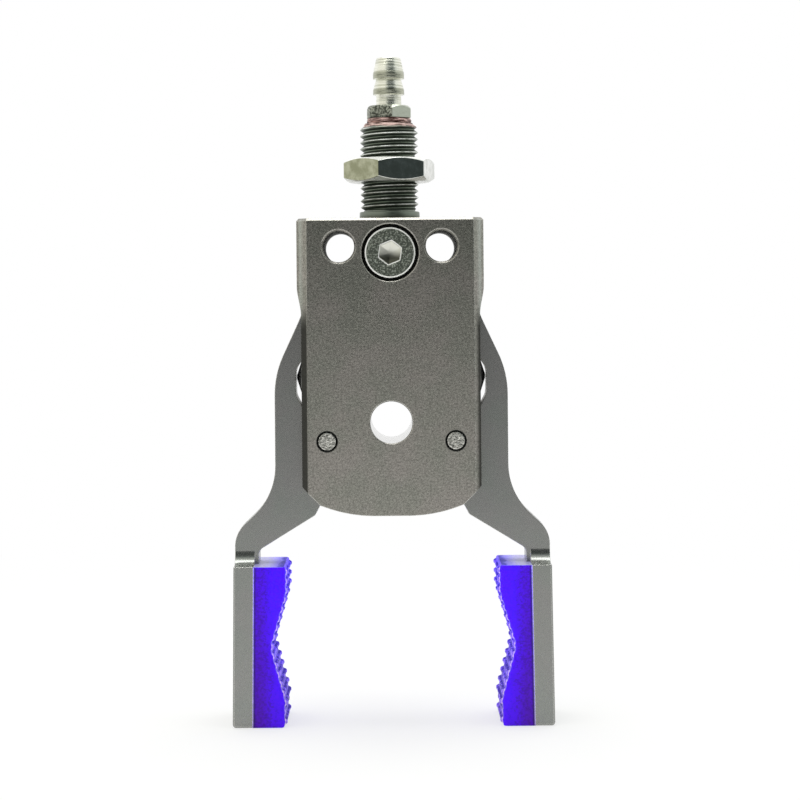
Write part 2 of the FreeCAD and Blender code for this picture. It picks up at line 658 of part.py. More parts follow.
def make_arm():
    """One arm in one piece with its jaw plate: a bent lever, its eye, the plate and the hollow between."""
    body = new_body("right_arm")
    lean = "jaw_height * tan(jaw_splay)"
    outer = "jaw_reach + jaw_thickness"
    plate = sketch_on(body, "XZ_Plane", "jaw_plate_outline")
    draw_outline(plate, [
        from_pivot("jaw_reach", "-jaw_drop"),
        from_pivot(outer, "-jaw_drop"),
        from_pivot(f"{outer} + {lean}", "-jaw_drop - jaw_height"),
        from_pivot(f"jaw_reach + {lean}", "-jaw_drop - jaw_height"),
    ])
    extrude(body, plate, "jaw_depth", "jaw_plate")
    foot_corner = [from_pivot(f"{outer} + {lean}", "-jaw_drop - jaw_height")]
    round_corners(body, foot_corner, "jaw_round", "jaw_foot_rounding")
    outside = amount(f"{PIVOT} + {outer}") - CLOSE
    side_faces = amount("jaw_depth / 2")
    dress(body, "Chamfer", "jaw_bevel", "jaw_edges", lambda edge: (
        edge.BoundBox.XMin > outside
        and abs(abs(edge.CenterOfMass.y) - side_faces) < CLOSE
        and edge.Length > amount("jaw_height / 2")
    ))

    heel_reach = "(heel_drop * sin(heel_angle) - eye_radius) / cos(heel_angle)"
    piston_line = "(pivot_depth - piston_depth)"
    tip_foot = from_pivot("tip_reach", f"{piston_line} + pocket_above + pocket_slope")
    tip_top = [from_pivot("tip_reach", "tip_height"), from_pivot("tip_reach + tip_width", "tip_height")]
    bow = from_pivot("bow_reach", "bow_height")
    flank_top = from_pivot("flank_reach", "flank_height")
    knee = from_pivot("flank_reach", "-flank_drop")
    elbow = from_pivot(outer, "-elbow_drop")
    neck = from_pivot("neck_reach", "-neck_drop")
    heel = from_pivot(heel_reach, "-heel_drop")
    shoulder = from_pivot("shoulder_reach", "eye_radius")
    pocket = [
        from_pivot("pocket_reach", f"{piston_line} - pocket_below"),
        from_pivot("pocket_reach", f"{piston_line} + pocket_above"),
    ]
    lever = sketch_on(body, "XZ_Plane", "lever_outline")
    draw_outline(lever, [
        *tip_top,
        bow,
        flank_top,
        knee,
        elbow,
        from_pivot(outer, "-jaw_drop"),
        from_pivot("neck_reach", "-jaw_drop"),
        neck,
        heel,
        from_pivot("-eye_radius * cos(heel_angle)", "-eye_radius * sin(heel_angle)"),
        from_pivot("0", "eye_radius"),
        shoulder,
        *pocket,
        tip_foot,
    ])
    extrude(body, lever, "arm_thickness", "lever")
    round_corners(body, tip_top, "tip_blend", "tip_rounding")
    round_corners(body, [bow], "bow_blend", "bow_rounding")
    round_corners(body, [flank_top], "flank_blend", "flank_rounding")
    round_corners(body, [knee], "knee_blend", "knee_rounding")
    round_corners(body, [elbow], "elbow_blend", "elbow_rounding")
    round_corners(body, [*pocket, tip_foot], "pocket_blend", "pocket_rounding")
    round_corners(body, [heel, shoulder], "heel_blend", "heel_rounding")
    round_corners(body, [neck], "neck_blend", "neck_rounding")

    eye = sketch_on(body, "XZ_Plane", "eye_circle")
    draw_circle(eye, PIVOT, "-pivot_depth", "eye_radius")
    extrude(body, eye, "arm_thickness", "eye")
    bush_hole = sketch_on(body, "XZ_Plane", "bush_hole_circle")
    draw_circle(bush_hole, PIVOT, "-pivot_depth", "bush_diameter / 2")
    cut(body, bush_hole, "arm_thickness", "bush_hole")
    seat = sketch_on(body, "YZ_Plane", "seat_circle", away="seat_reach")
    draw_circle(seat, "0", "-(pivot_depth + spring_drop)", "spring_diameter / 2 + spring_room")
    cut(body, seat, "spring_diameter + seat_reach", "spring_seat", side="One side")

    top = "-pivot_depth - jaw_drop"
    foot = "(arm_thickness / 2 + root_radius)"
    hollow = sketch_on(body, "YZ_Plane", "root_outline", away=f"{PIVOT} + jaw_reach")
    draw_outline(hollow, [
        (f"-{foot}", top),
        ("-arm_thickness / 2", f"{top} + root_radius"),
        ("arm_thickness / 2", f"{top} + root_radius"),
        (foot, top),
    ], arcs={0: ("root_radius", -1), 2: ("root_radius", -1)})
    extrude(body, hollow, "jaw_thickness", "root_hollow", side="One side")
    return body


# Pistons


def make_piston():
    """Piston with a seal groove and a blunt rounded end, lying along X in the cross bore."""
    body = new_body("right_piston")
    side = "piston_diameter / 2"
    tip = f"{PIVOT} + pocket_reach - dome_gap"
    floor = f"{side} - ring_wire - seal_slack"
    nose = f"{tip} - dome_radius * (1 - cos(dome_slope))"
    nose_side = "dome_radius * sin(dome_slope)"
    rim = f"{nose} - ({side} - {nose_side}) * tan(dome_slope)"
    profile = sketch_on(body, "XZ_Plane", "piston_profile", up="-piston_depth")
    draw_outline(profile, [
        ("piston_gap / 2", "0"),
        ("piston_gap / 2", side),
        ("ring_reach - ring_wire * groove_room / 2", side),
        ("ring_reach - ring_wire * groove_room / 2", floor),
        ("ring_reach + ring_wire * groove_room / 2", floor),
        ("ring_reach + ring_wire * groove_room / 2", side),
        (rim, side),
        (nose, nose_side),
        (tip, "0"),
    ], arcs={7: ("dome_radius", 1)})
    spin(body, profile, "H_Axis", "piston_turning")
    return body


def make_piston_ring():
    """O-ring in the piston's groove."""
    ring = doc.addObject("Part::Torus", "right_piston_ring")
    ring.Label = "right_piston_ring"
    bind(ring, "Radius1", "piston_diameter / 2 - ring_wire / 2")
    bind(ring, "Radius2", "ring_wire / 2")
    ring.Placement.Rotation = FreeCAD.Rotation(FreeCAD.Vector(0, 1, 0), 90)
    bind(ring, "Placement.Base.x", "ring_reach")
    lower(ring, "-piston_depth")
    return ring


# Springs


def make_spring():
    """Compression spring from its bore in the body to its seat in the arm."""
    body = new_body("right_return_spring")
    start = "spring_inner + spring_gap + spring_wire / 2"
    coil = "(spring_diameter - spring_wire) / 2"
    section = sketch_on(body, "XZ_Plane", "wire_circle", up="-(pivot_depth + spring_drop)")
    draw_circle(section, start, coil, "spring_wire / 2")
    doc.recompute()
    feature = body.newObject("PartDesign::AdditiveHelix", "coils")
    feature.Profile = section
    feature.ReferenceAxis = (section, ["H_Axis"])
    feature.Mode = "pitch-height-angle"
    travel = "(seat_reach - spring_gap - spring_wire / 2 - spring_inner - spring_gap - spring_wire / 2)"
    bind(feature, "Height", travel)
    bind(feature, "Pitch", f"{travel} / spring_coils")
    doc.recompute()
    return body


# Pads


def make_pad_block():
    """Jaw pad without its nubs: a slab against the jaw plate with a wide V across its face."""
    body = new_body("pad_block")

    def face(drop, inset):
        """A corner of the pad's face, at a height below its top and a depth below its crest."""
        return from_pivot(f"jaw_reach + ({drop}) * tan(jaw_splay) - pad_thickness + {inset}", f"-jaw_drop - ({drop})")

    crests = [face("groove_drop - groove_half", "0"), face("groove_drop + groove_half", "0")]
    bottom = face("groove_drop", "groove_depth")
    outline = sketch_on(body, "XZ_Plane", "pad_outline")
    draw_outline(outline, [
        from_pivot("jaw_reach", "-jaw_drop"),
        face("0", "0"),
        crests[0],
        bottom,
        crests[1],
        face("jaw_height", "0"),
        from_pivot("jaw_reach + jaw_height * tan(jaw_splay)", "-jaw_drop - jaw_height"),
    ])
    extrude(body, outline, "jaw_depth", "pad_slab")
    round_corners(body, crests, "crest_blend", "crest_rounding")
    round_corners(body, [bottom], "groove_blend", "groove_rounding")
    return body


def make_nub():
    """One six-sided nub standing on the XY plane, its foot a little below it."""
    wires = []
    for height, share in ((-amount("nub_height / 2"), 1.0), (amount("nub_height"), amount("nub_taper"))):
        radius = amount("nub_diameter / 2") * share
        corners = [
            FreeCAD.Vector(radius * math.cos(math.radians(angle)), radius * math.sin(math.radians(angle)), height)
            for angle in range(0, 361, 60)
        ]
        wires.append(Part.makePolygon(corners))
    return Part.makeLoft(wires, True, True)


def make_nubs():
    """All nubs of the right pad, in even rows down its face and square to it."""
    pitch = amount("nub_pitch")
    margin = amount("nub_margin")
    columns = int((amount("jaw_depth") - 2 * margin) / pitch) + 1
    rows = int((amount("jaw_height") - 2 * margin) / pitch) + 1
    middle = amount("groove_drop")
    slope = amount("groove_depth / groove_half")
    lean = math.tan(math.radians(amount("jaw_splay")))
    crest = amount(f"{PIVOT} + jaw_reach - pad_thickness")
    top = amount("-pivot_depth - jaw_drop")
    nub = make_nub()
    nubs = []
    for row_number in range(rows):
        drop = amount("jaw_height") / 2 + (row_number - (rows - 1) / 2) * pitch
        inset = max(0.0, amount("groove_depth") - slope * abs(drop - middle))
        side = math.copysign(slope, middle - drop) if inset > 0 else 0.0
        normal = FreeCAD.Vector(-1, 0, -(lean + side))
        upright = FreeCAD.Rotation(FreeCAD.Vector(0, 0, 1), normal)
        for column in range(columns):
            across = (column - (columns - 1) / 2) * pitch
            place = FreeCAD.Vector(crest + drop * lean + inset, across, top - drop)
            nubs.append(nub.transformed(FreeCAD.Placement(place, upright).toMatrix()))
    return nubs


def make_pad(block):
    """Jaw pad moulded in one piece: the block with its nubs."""
    level = FreeCAD.Vector(0, 0, amount("-nut_standoff - nut_thickness"))
    nubs = [nub.translated(level) for nub in make_nubs()]
    pad = doc.addObject("Part::Feature", "right_pad")
    pad.Label = "right_pad"
    pad.Shape = block.Shape.fuse(nubs)
    return pad


# Assembly

right_arm = make_arm()
right_pin = make_pin()
right_bush = make_bush()
right_piston = make_piston()
right_ring = make_piston_ring()
right_spring = make_spring()
right_pad = make_pad(make_pad_block())
gasket_inner = "port_diameter / 2 + fit_gap"

pieces = [
    make_body(),
    make_stem(),
    make_stem_ring(),
    make_stem_screw(),
    make_lock_nut(),
    make_barb(),
    make_ring("barb_gasket", "stem_length", "gasket_thickness", gasket_inner, "gasket_diameter / 2"),
]
for right_piece in (right_arm, right_pin, right_bush, right_piston, right_ring, right_spring, right_pad):
    pieces.append(right_piece)
    pieces.append(mirrored(right_piece, right_piece.Label.replace("right", "left")))
doc.recompute()

for item in doc.Objects:
    if "Invalid" in item.State or "Error" in item.State:
        raise RuntimeError(f"{item.Label} failed: {item.State}")

os.makedirs("parts", exist_ok=True)
for piece in pieces:
    shape = piece.Shape
    if shape.isNull() or not shape.isValid():
        raise RuntimeError(f"{piece.Label} has no valid shape")
    shape.exportStep(f"parts/{piece.Label}.step")
    box = shape.BoundBox
    print(f"{piece.Label}: {len(shape.Solids)} solid, {shape.Volume:.1f} mm3, "
          f"x {box.XMin:.2f} {box.XMax:.2f}, y {box.YMin:.2f} {box.YMax:.2f}, z {box.ZMin:.2f} {box.ZMax:.2f}")
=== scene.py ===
# %% [markdown]
# # An air-driven mini gripper, dressed cell by cell
#
# The object is a small gripper for a machine's arm: a flat anodised block with a threaded hollow
# stem on top, and two bent arms whose jaws carry violet rubber pads. Its solids come ready made and
# stay where they are. This lesson adds the shapes that are too fine for them, such as threads and
# rubber nubs, and a finish for every metal and rubber. The frame is loaded first, because each
# piece hangs on one of its bodies.

# %% Load the fixed frame
import math

import bmesh
import bpy
import numpy as np
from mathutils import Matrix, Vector


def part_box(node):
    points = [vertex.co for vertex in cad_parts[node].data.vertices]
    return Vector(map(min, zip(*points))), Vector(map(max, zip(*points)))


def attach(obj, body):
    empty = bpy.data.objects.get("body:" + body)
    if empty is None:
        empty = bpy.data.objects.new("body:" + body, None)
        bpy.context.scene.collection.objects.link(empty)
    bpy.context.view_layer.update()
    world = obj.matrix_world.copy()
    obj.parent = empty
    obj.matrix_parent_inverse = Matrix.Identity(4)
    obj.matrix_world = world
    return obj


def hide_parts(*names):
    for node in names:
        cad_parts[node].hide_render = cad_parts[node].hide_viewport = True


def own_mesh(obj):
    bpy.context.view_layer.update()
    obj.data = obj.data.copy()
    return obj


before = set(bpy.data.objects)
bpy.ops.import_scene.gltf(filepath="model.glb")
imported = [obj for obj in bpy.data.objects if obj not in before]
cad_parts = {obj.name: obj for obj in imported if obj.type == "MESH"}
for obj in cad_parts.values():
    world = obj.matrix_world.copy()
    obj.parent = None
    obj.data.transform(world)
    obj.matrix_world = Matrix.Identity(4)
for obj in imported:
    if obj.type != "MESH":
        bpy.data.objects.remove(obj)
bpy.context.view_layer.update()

print("nodes:", len(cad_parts))

# %% [markdown]
# ## Millimetres and places
#
# All shapes are worked out in millimetres, as a maker would, and become metres when they turn into
# a mesh. The heights are read from the solids, so that the fine pieces stay fitted to them.

# %% Places read from the solids
MM = 0.001
BODY_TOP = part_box("body")[1].z / MM
FRONT_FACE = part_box("body")[0].y / MM
STEM_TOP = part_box("threaded_stem")[1].z / MM
NUT_BASE, NUT_TOP = (corner.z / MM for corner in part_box("lock_nut"))
FITTING_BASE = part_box("barb_gasket")[1].z / MM
JAW_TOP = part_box("right_pad")[1].z / MM
JAW_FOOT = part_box("right_pad")[0].z / MM
print(f"body top at {BODY_TOP:.2f} mm, stem top at {STEM_TOP:.2f} mm")
print(f"jaws from {JAW_TOP:.2f} to {JAW_FOOT:.2f} mm")

# %% [markdown]
# ## From a grid of points to a piece
#
# Every new shape here is a surface: a grid of points worked out with whole numpy arrays, closed in
# one or both directions. One helper numbers the four corners of each face. Another makes the mesh,
# welds seams and poles, turns all faces outwards, keeps real edges crisp and hangs the piece on its
# body.


# %% Faces of a grid
def grid_faces(rows, columns, wrap_rows=False, wrap_columns=True):
    """Corner numbers of a grid's faces: a point's number is its row times the columns, plus its column."""
    down = np.arange(rows if wrap_rows else rows - 1)
    across = np.arange(columns if wrap_columns else columns - 1)
    row, column = np.meshgrid(down, across, indexing="ij")
    next_row = (row + 1) % rows
    next_column = (column + 1) % columns
    corners = (
        row * columns + column,
        row * columns + next_column,
        next_row * columns + next_column,
        next_row * columns + column,
    )
    return np.stack(corners, axis=-1).reshape(-1, 4).tolist()


print("a 3 by 4 grid, closed across, has", len(grid_faces(3, 4)), "faces")

# %% A piece from points and faces
WELD = 1e-7
CRISP_ANGLE = 32.0
BEVEL_ANGLE = 24.0


def add_object(name, data):
    """Put a new object with a mesh, lamp or camera into the scene."""
    made = bpy.data.objects.new(name, data)
    bpy.context.scene.collection.objects.link(made)
    return made


def make_mesh(name, points, faces):
    """A mesh from points in millimetres and the corner numbers of its faces."""
    mesh = bpy.data.meshes.new(name)
    mesh.from_pydata((points.reshape(-1, 3) * MM).tolist(), [], faces)
    return mesh


def make_piece(name, points, body, slot, stands_for, faces=None, paints=None, crisp=CRISP_ANGLE):
    """Turn a grid of points into a closed mesh that rides on a body.

    paints gives one number for each point under a name, for a material to read.
    """
    mesh = make_mesh(name, points, faces or grid_faces(*points.shape[:2]))
    for label, values in (paints or {}).items():
        layer = mesh.attributes.new(label, "FLOAT", "POINT")
        layer.data.foreach_set("value", np.ascontiguousarray(values, np.float32).ravel())
    shape = bmesh.new()
    shape.from_mesh(mesh)
    bmesh.ops.remove_doubles(shape, verts=shape.verts, dist=WELD)
    bmesh.ops.recalc_face_normals(shape, faces=shape.faces)
    volume = shape.calc_volume(signed=True) / MM ** 3
    open_edges = sum(not edge.is_manifold for edge in shape.edges)
    shape.to_mesh(mesh)
    shape.free()
    mesh.shade_smooth()
    mesh.set_sharp_from_angle(angle=math.radians(crisp))
    piece = add_object(name, mesh)
    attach(piece, body)
    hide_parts(*stands_for)
    print(f"{name}: {len(mesh.polygons)} faces, {volume:.1f} mm3, {open_edges} open edges")
    return piece


def soften(piece, width):
    """Round a piece's real edges by a few hundredths of a millimetre, as tumbling and plating do."""
    modifier = piece.modifiers.new("edges", "BEVEL")
    modifier.width = width * MM
    modifier.segments = 2
    modifier.limit_method = "ANGLE"
    modifier.angle_limit = math.radians(BEVEL_ANGLE)


# %% [markdown]
# ## Shader maths as sums
#
# A finish is easiest to read as a sum: grain plus streaks, times a mask. So a small class wraps an
# output of a shader node, and each Python sign between two of them adds a Math node, where | gives
# the larger one. Every other node comes from one method: its type, its settings and its sockets.


# %% Wires and shaders
def sign(operation, swapped=False):
    """A method for one Python sign. A swapped one serves a number that stands before the wire."""
    def add_node(self, number):
        first, second = (number, self) if swapped else (self, number)
        return self.maths(operation, first, second)
    return add_node


class Wire:
    """One output of a shader node. Signs between wires, or a wire and a number, add Math nodes."""

    __add__ = sign("ADD")
    __radd__ = sign("ADD", swapped=True)
    __sub__ = sign("SUBTRACT")
    __rsub__ = sign("SUBTRACT", swapped=True)
    __mul__ = sign("MULTIPLY")
    __rmul__ = sign("MULTIPLY", swapped=True)
    __truediv__ = sign("DIVIDE")
    __pow__ = sign("POWER")
    __or__ = sign("MAXIMUM")

    def __init__(self, shader, socket):
        self.shader = shader
        self.socket = socket

    def __abs__(self):
        return self.maths("ABSOLUTE", self, 0.0)

    def maths(self, operation, first, second):
        return self.shader.node("ShaderNodeMath", {"operation": operation}, {0: first, 1: second})

    def other(self, name):
        """Another output of the same node."""
        return Wire(self.shader, self.socket.node.outputs[name])


class Shader:
    """The node tree of a material or a sky that is being written."""

    def __init__(self, owner):
        owner.use_nodes = True
        self.tree = owner.node_tree
        self.tree.nodes.clear()
        self.place = None

    def node(self, kind, settings=None, sockets=None, out=0):
        """Add a node of a type: its settings first, then values or wires for its sockets."""
        made = self.tree.nodes.new(kind)
        for name, value in (settings or {}).items():
            setattr(made, name, value)
        for name, value in (sockets or {}).items():
            if isinstance(value, Wire):
                self.tree.links.new(value.socket, made.inputs[name])
            else:
                made.inputs[name].default_value = value
        return Wire(self, made.outputs[out]) if out is not None else None


# %% [markdown]
# ## Patterns that the finishes share
#
# Metal and rubber are never even. The patterns below are small: soft blotches, a mask with soft
# ends, a blend of two colours, a mask of the edges and shallow relief. Blotches read the object's
# own coordinates in millimetres, so that they have their real size and stay on their piece.


# %% Pattern helpers
def new_finish(name):
    """A new material, and its shader that knows where a point of the object is in millimetres."""
    made = bpy.data.materials.new(name)
    s = Shader(made)
    spot = s.node("ShaderNodeTexCoord", out="Object")
    s.place = s.node("ShaderNodeVectorMath", {"operation": "SCALE"}, {0: spot, "Scale": 1 / MM})
    return made, s


def axis(s, name):
    """One of the point's coordinates, X, Y or Z."""
    return s.node("ShaderNodeSeparateXYZ", None, {0: s.place}, out=name)


def painted(s, name):
    """The numbers that a piece's points carry under a name."""
    return s.node("ShaderNodeAttribute", {"attribute_name": name}, out="Fac")


def blotches(s, size, detail=2.0, shift=(0, 0, 0)):
    """Soft patches of random value, 0 to 1. size is their width along X, Y and Z in millimetres."""
    sizes = (size,) * 3 if isinstance(size, (int, float)) else size
    spread = {0: s.place, 1: [1 / width for width in sizes], 2: shift}
    spot = s.node("ShaderNodeVectorMath", {"operation": "MULTIPLY_ADD"}, spread)
    sockets = {"Vector": spot, "Scale": 1.0, "Detail": detail, "Roughness": 0.6}
    return s.node("ShaderNodeTexNoise", None, sockets)


def rise(value, low, high):
    """A mask that climbs softly from 0 at low to 1 at high."""
    sockets = {"Value": value, "From Min": low, "From Max": high}
    return value.shader.node("ShaderNodeMapRange", {"interpolation_type": "SMOOTHSTEP"}, sockets)


def tint(mask, low, high):
    """The colour low where the mask is 0 and high where it is 1."""
    low, high = (colour if isinstance(colour, Wire) else (*colour, 1.0) for colour in (low, high))
    return mask.shader.node("ShaderNodeMix", {"data_type": "RGBA"}, {0: mask, 6: low, 7: high}, out=2)


def times(colour, factors):
    """A colour times another one, channel by channel."""
    settings = {"data_type": "RGBA", "blend_type": "MULTIPLY"}
    return colour.shader.node("ShaderNodeMix", settings, {0: 1.0, 6: colour, 7: factors}, out=2)


def rounded_normal(s, width):
    """The surface's direction with its edges rounded by a width in millimetres."""
    return s.node("ShaderNodeBevel", {"samples": 6}, {"Radius": width * MM})


def edge_mask(soft_normal):
    """1 on sharp edges and 0 on flats: how far the rounded direction leaves the true one."""
    s = soft_normal.shader
    normals = {0: soft_normal, 1: s.node("ShaderNodeNewGeometry", out="True Normal")}
    cosine = s.node("ShaderNodeVectorMath", {"operation": "DOT_PRODUCT"}, normals, out="Value")
    return rise(1 - cosine, 0.01, 0.12)


def relief(height, depth, strength, normal=None):
    """Shallow relief: a height of 1 stands depth millimetres proud."""
    sockets = {"Height": height, "Distance": depth * MM, "Strength": strength}
    if normal is not None:
        sockets["Normal"] = normal
    return height.shader.node("ShaderNodeBump", None, sockets)


def dress(names, finish, write, fixed=None):
    """Give CAD nodes or new pieces one new finish.

    write gives the shader's sockets that change over the surface, and fixed those that don't.
    """
    made, s = new_finish(finish)
    surface = s.node("ShaderNodeBsdfPrincipled", None, {**(fixed or {}), **write(s)})
    s.node("ShaderNodeOutputMaterial", None, {"Surface": surface}, out=None)
    for name in names:
        piece = bpy.data.objects[name]
        if not piece.material_slots:
            piece.data.materials.append(made)
        for slot in piece.material_slots:
            slot.material = made
    print(f"{finish}: {len(made.node_tree.nodes)} nodes, on {', '.join(names)}")


# %% [markdown]
# ## Matte anodised aluminium
#
# The body, the arms and the jaw plates are milled aluminium, blasted and hard anodised to a warm
# grey. Seen close, the finish is a fine even grain with a few larger, slightly greener or browner
# clouds, and every outer edge carries a painted highlight. A flat grey would look like plastic, so
# each of these gets a term. The body has painted light and shade of its own: painted shade in a
# ring round the pivot pins, in the counterbore round the screw head and on the walls of the fixing
# holes, a painted bright reflection on the wall of the centre bore, and upright bevels with painted
# shade low down and a painted highlight above. The jaw plates get painted light from the floor
# below, which makes them a little lighter than the arms.

# %% Places of the body's bores and bevels
PIN_REACH = 10.7
PIN_HEIGHT = BODY_TOP - 37.1
PIN_GAP_INSIDE = (1.40, 1.50)
PIN_GAP_OUTSIDE = (1.74, 1.86)
SCREW_HEIGHT = BODY_TOP - 5.8
HEAD_BORE_RADIUS = 4.75
BORE_HEIGHT = BODY_TOP - 34.0
BORE_RADIUS = 3.5
FIXING_REACH = 8.55
FIXING_HEIGHT = BODY_TOP - 4.75
FIXING_RADIUS = 2.6
BEVEL_DEPTHS = (-FRONT_FACE - 1.45, -FRONT_FACE - 1.0)
BRIGHT_HEIGHTS = (BODY_TOP - 18.5, BODY_TOP - 13.5)
RIGHT_BEVEL = (13.9, 14.8)
LEFT_BEVEL = (13.7, 14.1)
UPPER_BEVEL = (14.2, 15.6)


# %% Masks for the body
def from_bore(s, reach, height):
    """How far a point is from a bore's axis, or from the nearer of two at equal reach.

    That is the root of the sideways distance squared plus the upward distance squared.
    """
    across = axis(s, "X")
    up = across.other("Z") - height
    sideways = abs(across) - reach
    return (sideways * sideways + up * up) ** 0.5


def in_bore(s, reach, height, radius, inside=0.15):
    """1 on the wall of a bore: within its radius, and deeper inside than the faces' small bevels."""
    depth = abs(axis(s, "Y"))
    near = 1 - rise(from_bore(s, reach, height), radius + 0.05, radius + 0.15)
    return near * (1 - rise(depth, -FRONT_FACE - inside - 0.1, -FRONT_FACE - inside))


def pin_ring_shade(s):
    """1 in the narrow gap round both pivot pins, where shade is painted: a thin band of distances from
    their axes.
    """
    away = from_bore(s, PIN_REACH, PIN_HEIGHT)
    return rise(away, *PIN_GAP_INSIDE) * (1 - rise(away, *PIN_GAP_OUTSIDE))


def bevel_shade_and_highlight(s):
    """Two masks that grow towards the outer edge of the upright bevels: a low one for painted shade and a
    high one for a painted highlight.
    """
    across = axis(s, "X")
    bevel = rise(abs(across.other("Y")), *BEVEL_DEPTHS)
    upper = rise(across.other("Z"), *BRIGHT_HEIGHTS)
    low = rise(across, *RIGHT_BEVEL) | rise(-1 * across, *LEFT_BEVEL)
    high = rise(abs(across), *UPPER_BEVEL)
    return low * bevel * (1 - upper), high * bevel * upper


# %% Anodised finish
def anodised(dark, light, grain_depth, marks):
    """Sockets of the anodised finish between two shades. marks adds the painted light and shade that only
    one kind of piece has.
    """
    def write(s):
        grain = blotches(s, 0.30)
        fleck = blotches(s, 0.75, shift=(7, 3, 1))
        cloud = blotches(s, 9.0, shift=(2, 5, 8))
        soft = rounded_normal(s, 0.18)
        shade = rise(grain * 0.65 + fleck * 0.20 + cloud * 0.15, 0.36, 0.64)
        warm = tint(rise(cloud, 0.35, 0.65), (0.97, 1.0, 0.96), (1.02, 0.99, 0.99))
        colour = times(tint(shade, dark, light), warm)
        # A painted highlight: every outer edge is tinted a pale near white.
        colour = tint(edge_mask(soft) * 0.85, colour, (0.90, 0.89, 0.84))
        rough = 0.20 + 0.10 * grain + 0.04 * cloud
        colour, rough = marks(s, grain, colour, rough)
        return {
            "Base Color": colour,
            "Roughness": rough,
            "Normal": relief(grain, grain_depth, 0.8, soft),
        }
    return write


def body_light_and_shade(s, grain, colour, rough):
    """The body's painted light and shade: on its bevels, in its bores and in the rings round its pins."""
    low, high = bevel_shade_and_highlight(s)
    # Painted shade, nearly black, low on the upright bevels, and a painted highlight high on them.
    colour = tint(low * 0.92, colour, (0.026, 0.026, 0.022))
    colour = tint(high * 0.7, colour, (0.62, 0.67, 0.62))
    # Painted shade on the walls of the fixing holes: a darker grey, and rougher.
    holes = in_bore(s, FIXING_REACH, FIXING_HEIGHT, FIXING_RADIUS, inside=0.25)
    colour = tint(holes, colour, tint(grain, (0.14, 0.14, 0.125), (0.34, 0.34, 0.31)))
    # Painted shade, nearly black, in the narrow gap round the pivot pins.
    gap = pin_ring_shade(s)
    colour = tint(gap, colour, (0.010, 0.011, 0.010))
    # Painted shade, nearly black, in the counterbore round the screw head.
    head = in_bore(s, 0, SCREW_HEIGHT, HEAD_BORE_RADIUS)
    colour = tint(head, colour, (0.020, 0.020, 0.018))
    # A painted bright reflection on the wall of the centre bore: light grey, and smoother.
    centre = in_bore(s, 0, BORE_HEIGHT, BORE_RADIUS)
    colour = tint(centre, colour, (0.62, 0.62, 0.60))
    return colour, rough + 0.2 * gap - 0.12 * centre + 0.5 * holes + 0.3 * low


def jaw_floor_light(s, grain, colour, rough):
    """Painted light from the floor below: the jaw plates a little lighter than the arms above them."""
    above = rise(axis(s, "Z"), JAW_TOP, JAW_TOP + 15)
    return tint(0.10 - 0.10 * above, colour, (0.60, 0.61, 0.57)), rough


hard_layer = {"Metallic": 0.88}
body_finish = anodised((0.225, 0.218, 0.197), (0.410, 0.397, 0.362), 0.010, body_light_and_shade)
arm_finish = anodised((0.243, 0.249, 0.242), (0.276, 0.282, 0.273), 0.001, jaw_floor_light)
dress(["body"], "warm_grey_anodised", body_finish, hard_layer)
dress(["right_arm", "left_arm"], "grey_anodised", arm_finish, hard_layer)

# %% [markdown]
# ## Round shapes from a profile
#
# Stem, nut, fitting, gasket, screw and pins are all turned parts: a profile carried round an axis.
# The profile is a list of radii and heights, and a row of the grid is one ring. A radius may also
# change with the angle, which makes threads and hexagons from the same surface.


# %% Turned surfaces
def rings(rows, angles):
    """A full grid from rows that hold one number for the ring, or one for each angle."""
    return np.stack([np.broadcast_to(row, angles.shape) for row in rows]).astype(float)


def turned(radii, heights, angles):
    """Points round the Z axis: a ring's radius times cosine and sine of the angle, at the ring's height."""
    radius = rings(radii, angles)
    return np.stack((radius * np.cos(angles), radius * np.sin(angles), rings(heights, angles)), axis=-1)


def turned_ring(name, radii, heights, angles, slot, node, **more):
    """A piece with a hole along its axis: its last ring joins the first."""
    faces = grid_faces(len(heights), len(angles), wrap_rows=True)
    return make_piece(name, turned(radii, heights, angles), "frame", slot, [node], faces, **more)


def even_angles(columns):
    """Evenly spaced angles for one turn."""
    return np.linspace(0, 2 * np.pi, columns, endpoint=False)


def rounded(corners, radii, steps=5):
    """A line through corners, each one replaced by a curve that leaves its sides at the same distance.

    With t from 0 to 1, the curve is (1 - t) squared times the start, 2 t (1 - t) times the corner
    and t squared times the end.
    """
    corners = np.asarray(corners, float)
    to_last = np.roll(corners, 1, axis=0) - corners
    to_next = np.roll(corners, -1, axis=0) - corners
    last_length = np.linalg.norm(to_last, axis=1)
    next_length = np.linalg.norm(to_next, axis=1)
    cosine = (to_last * to_next).sum(axis=1) / (last_length * next_length)
    half_angle = np.arccos(np.clip(cosine, -1, 1)) / 2
    reach = np.minimum(np.asarray(radii) / np.tan(half_angle), 0.49 * np.minimum(last_length, next_length))
    start = corners + to_last * (reach / last_length)[:, None]
    end = corners + to_next * (reach / next_length)[:, None]
    t = np.linspace(0, 1, steps)[None, :, None]
    curve = (1 - t) ** 2 * start[:, None] + 2 * t * (1 - t) * corners[:, None] + t ** 2 * end[:, None]
    return curve.reshape(-1, 2)


square = rounded([(0, 0), (1, 0), (1, 1), (0, 1)], [0.2] * 4)
print("a rounded square has", len(square), "points")

# %% [markdown]
# ## The threaded stem
#
# The stem is a hollow steel rod with a fine thread, whose saw-tooth outline shows against the white
# ground, so it is real geometry: the radius falls away from the crest in a straight line, and the
# crest climbs by one pitch in each turn. A bevel at the top and a plain collar at the bottom end
# the thread.

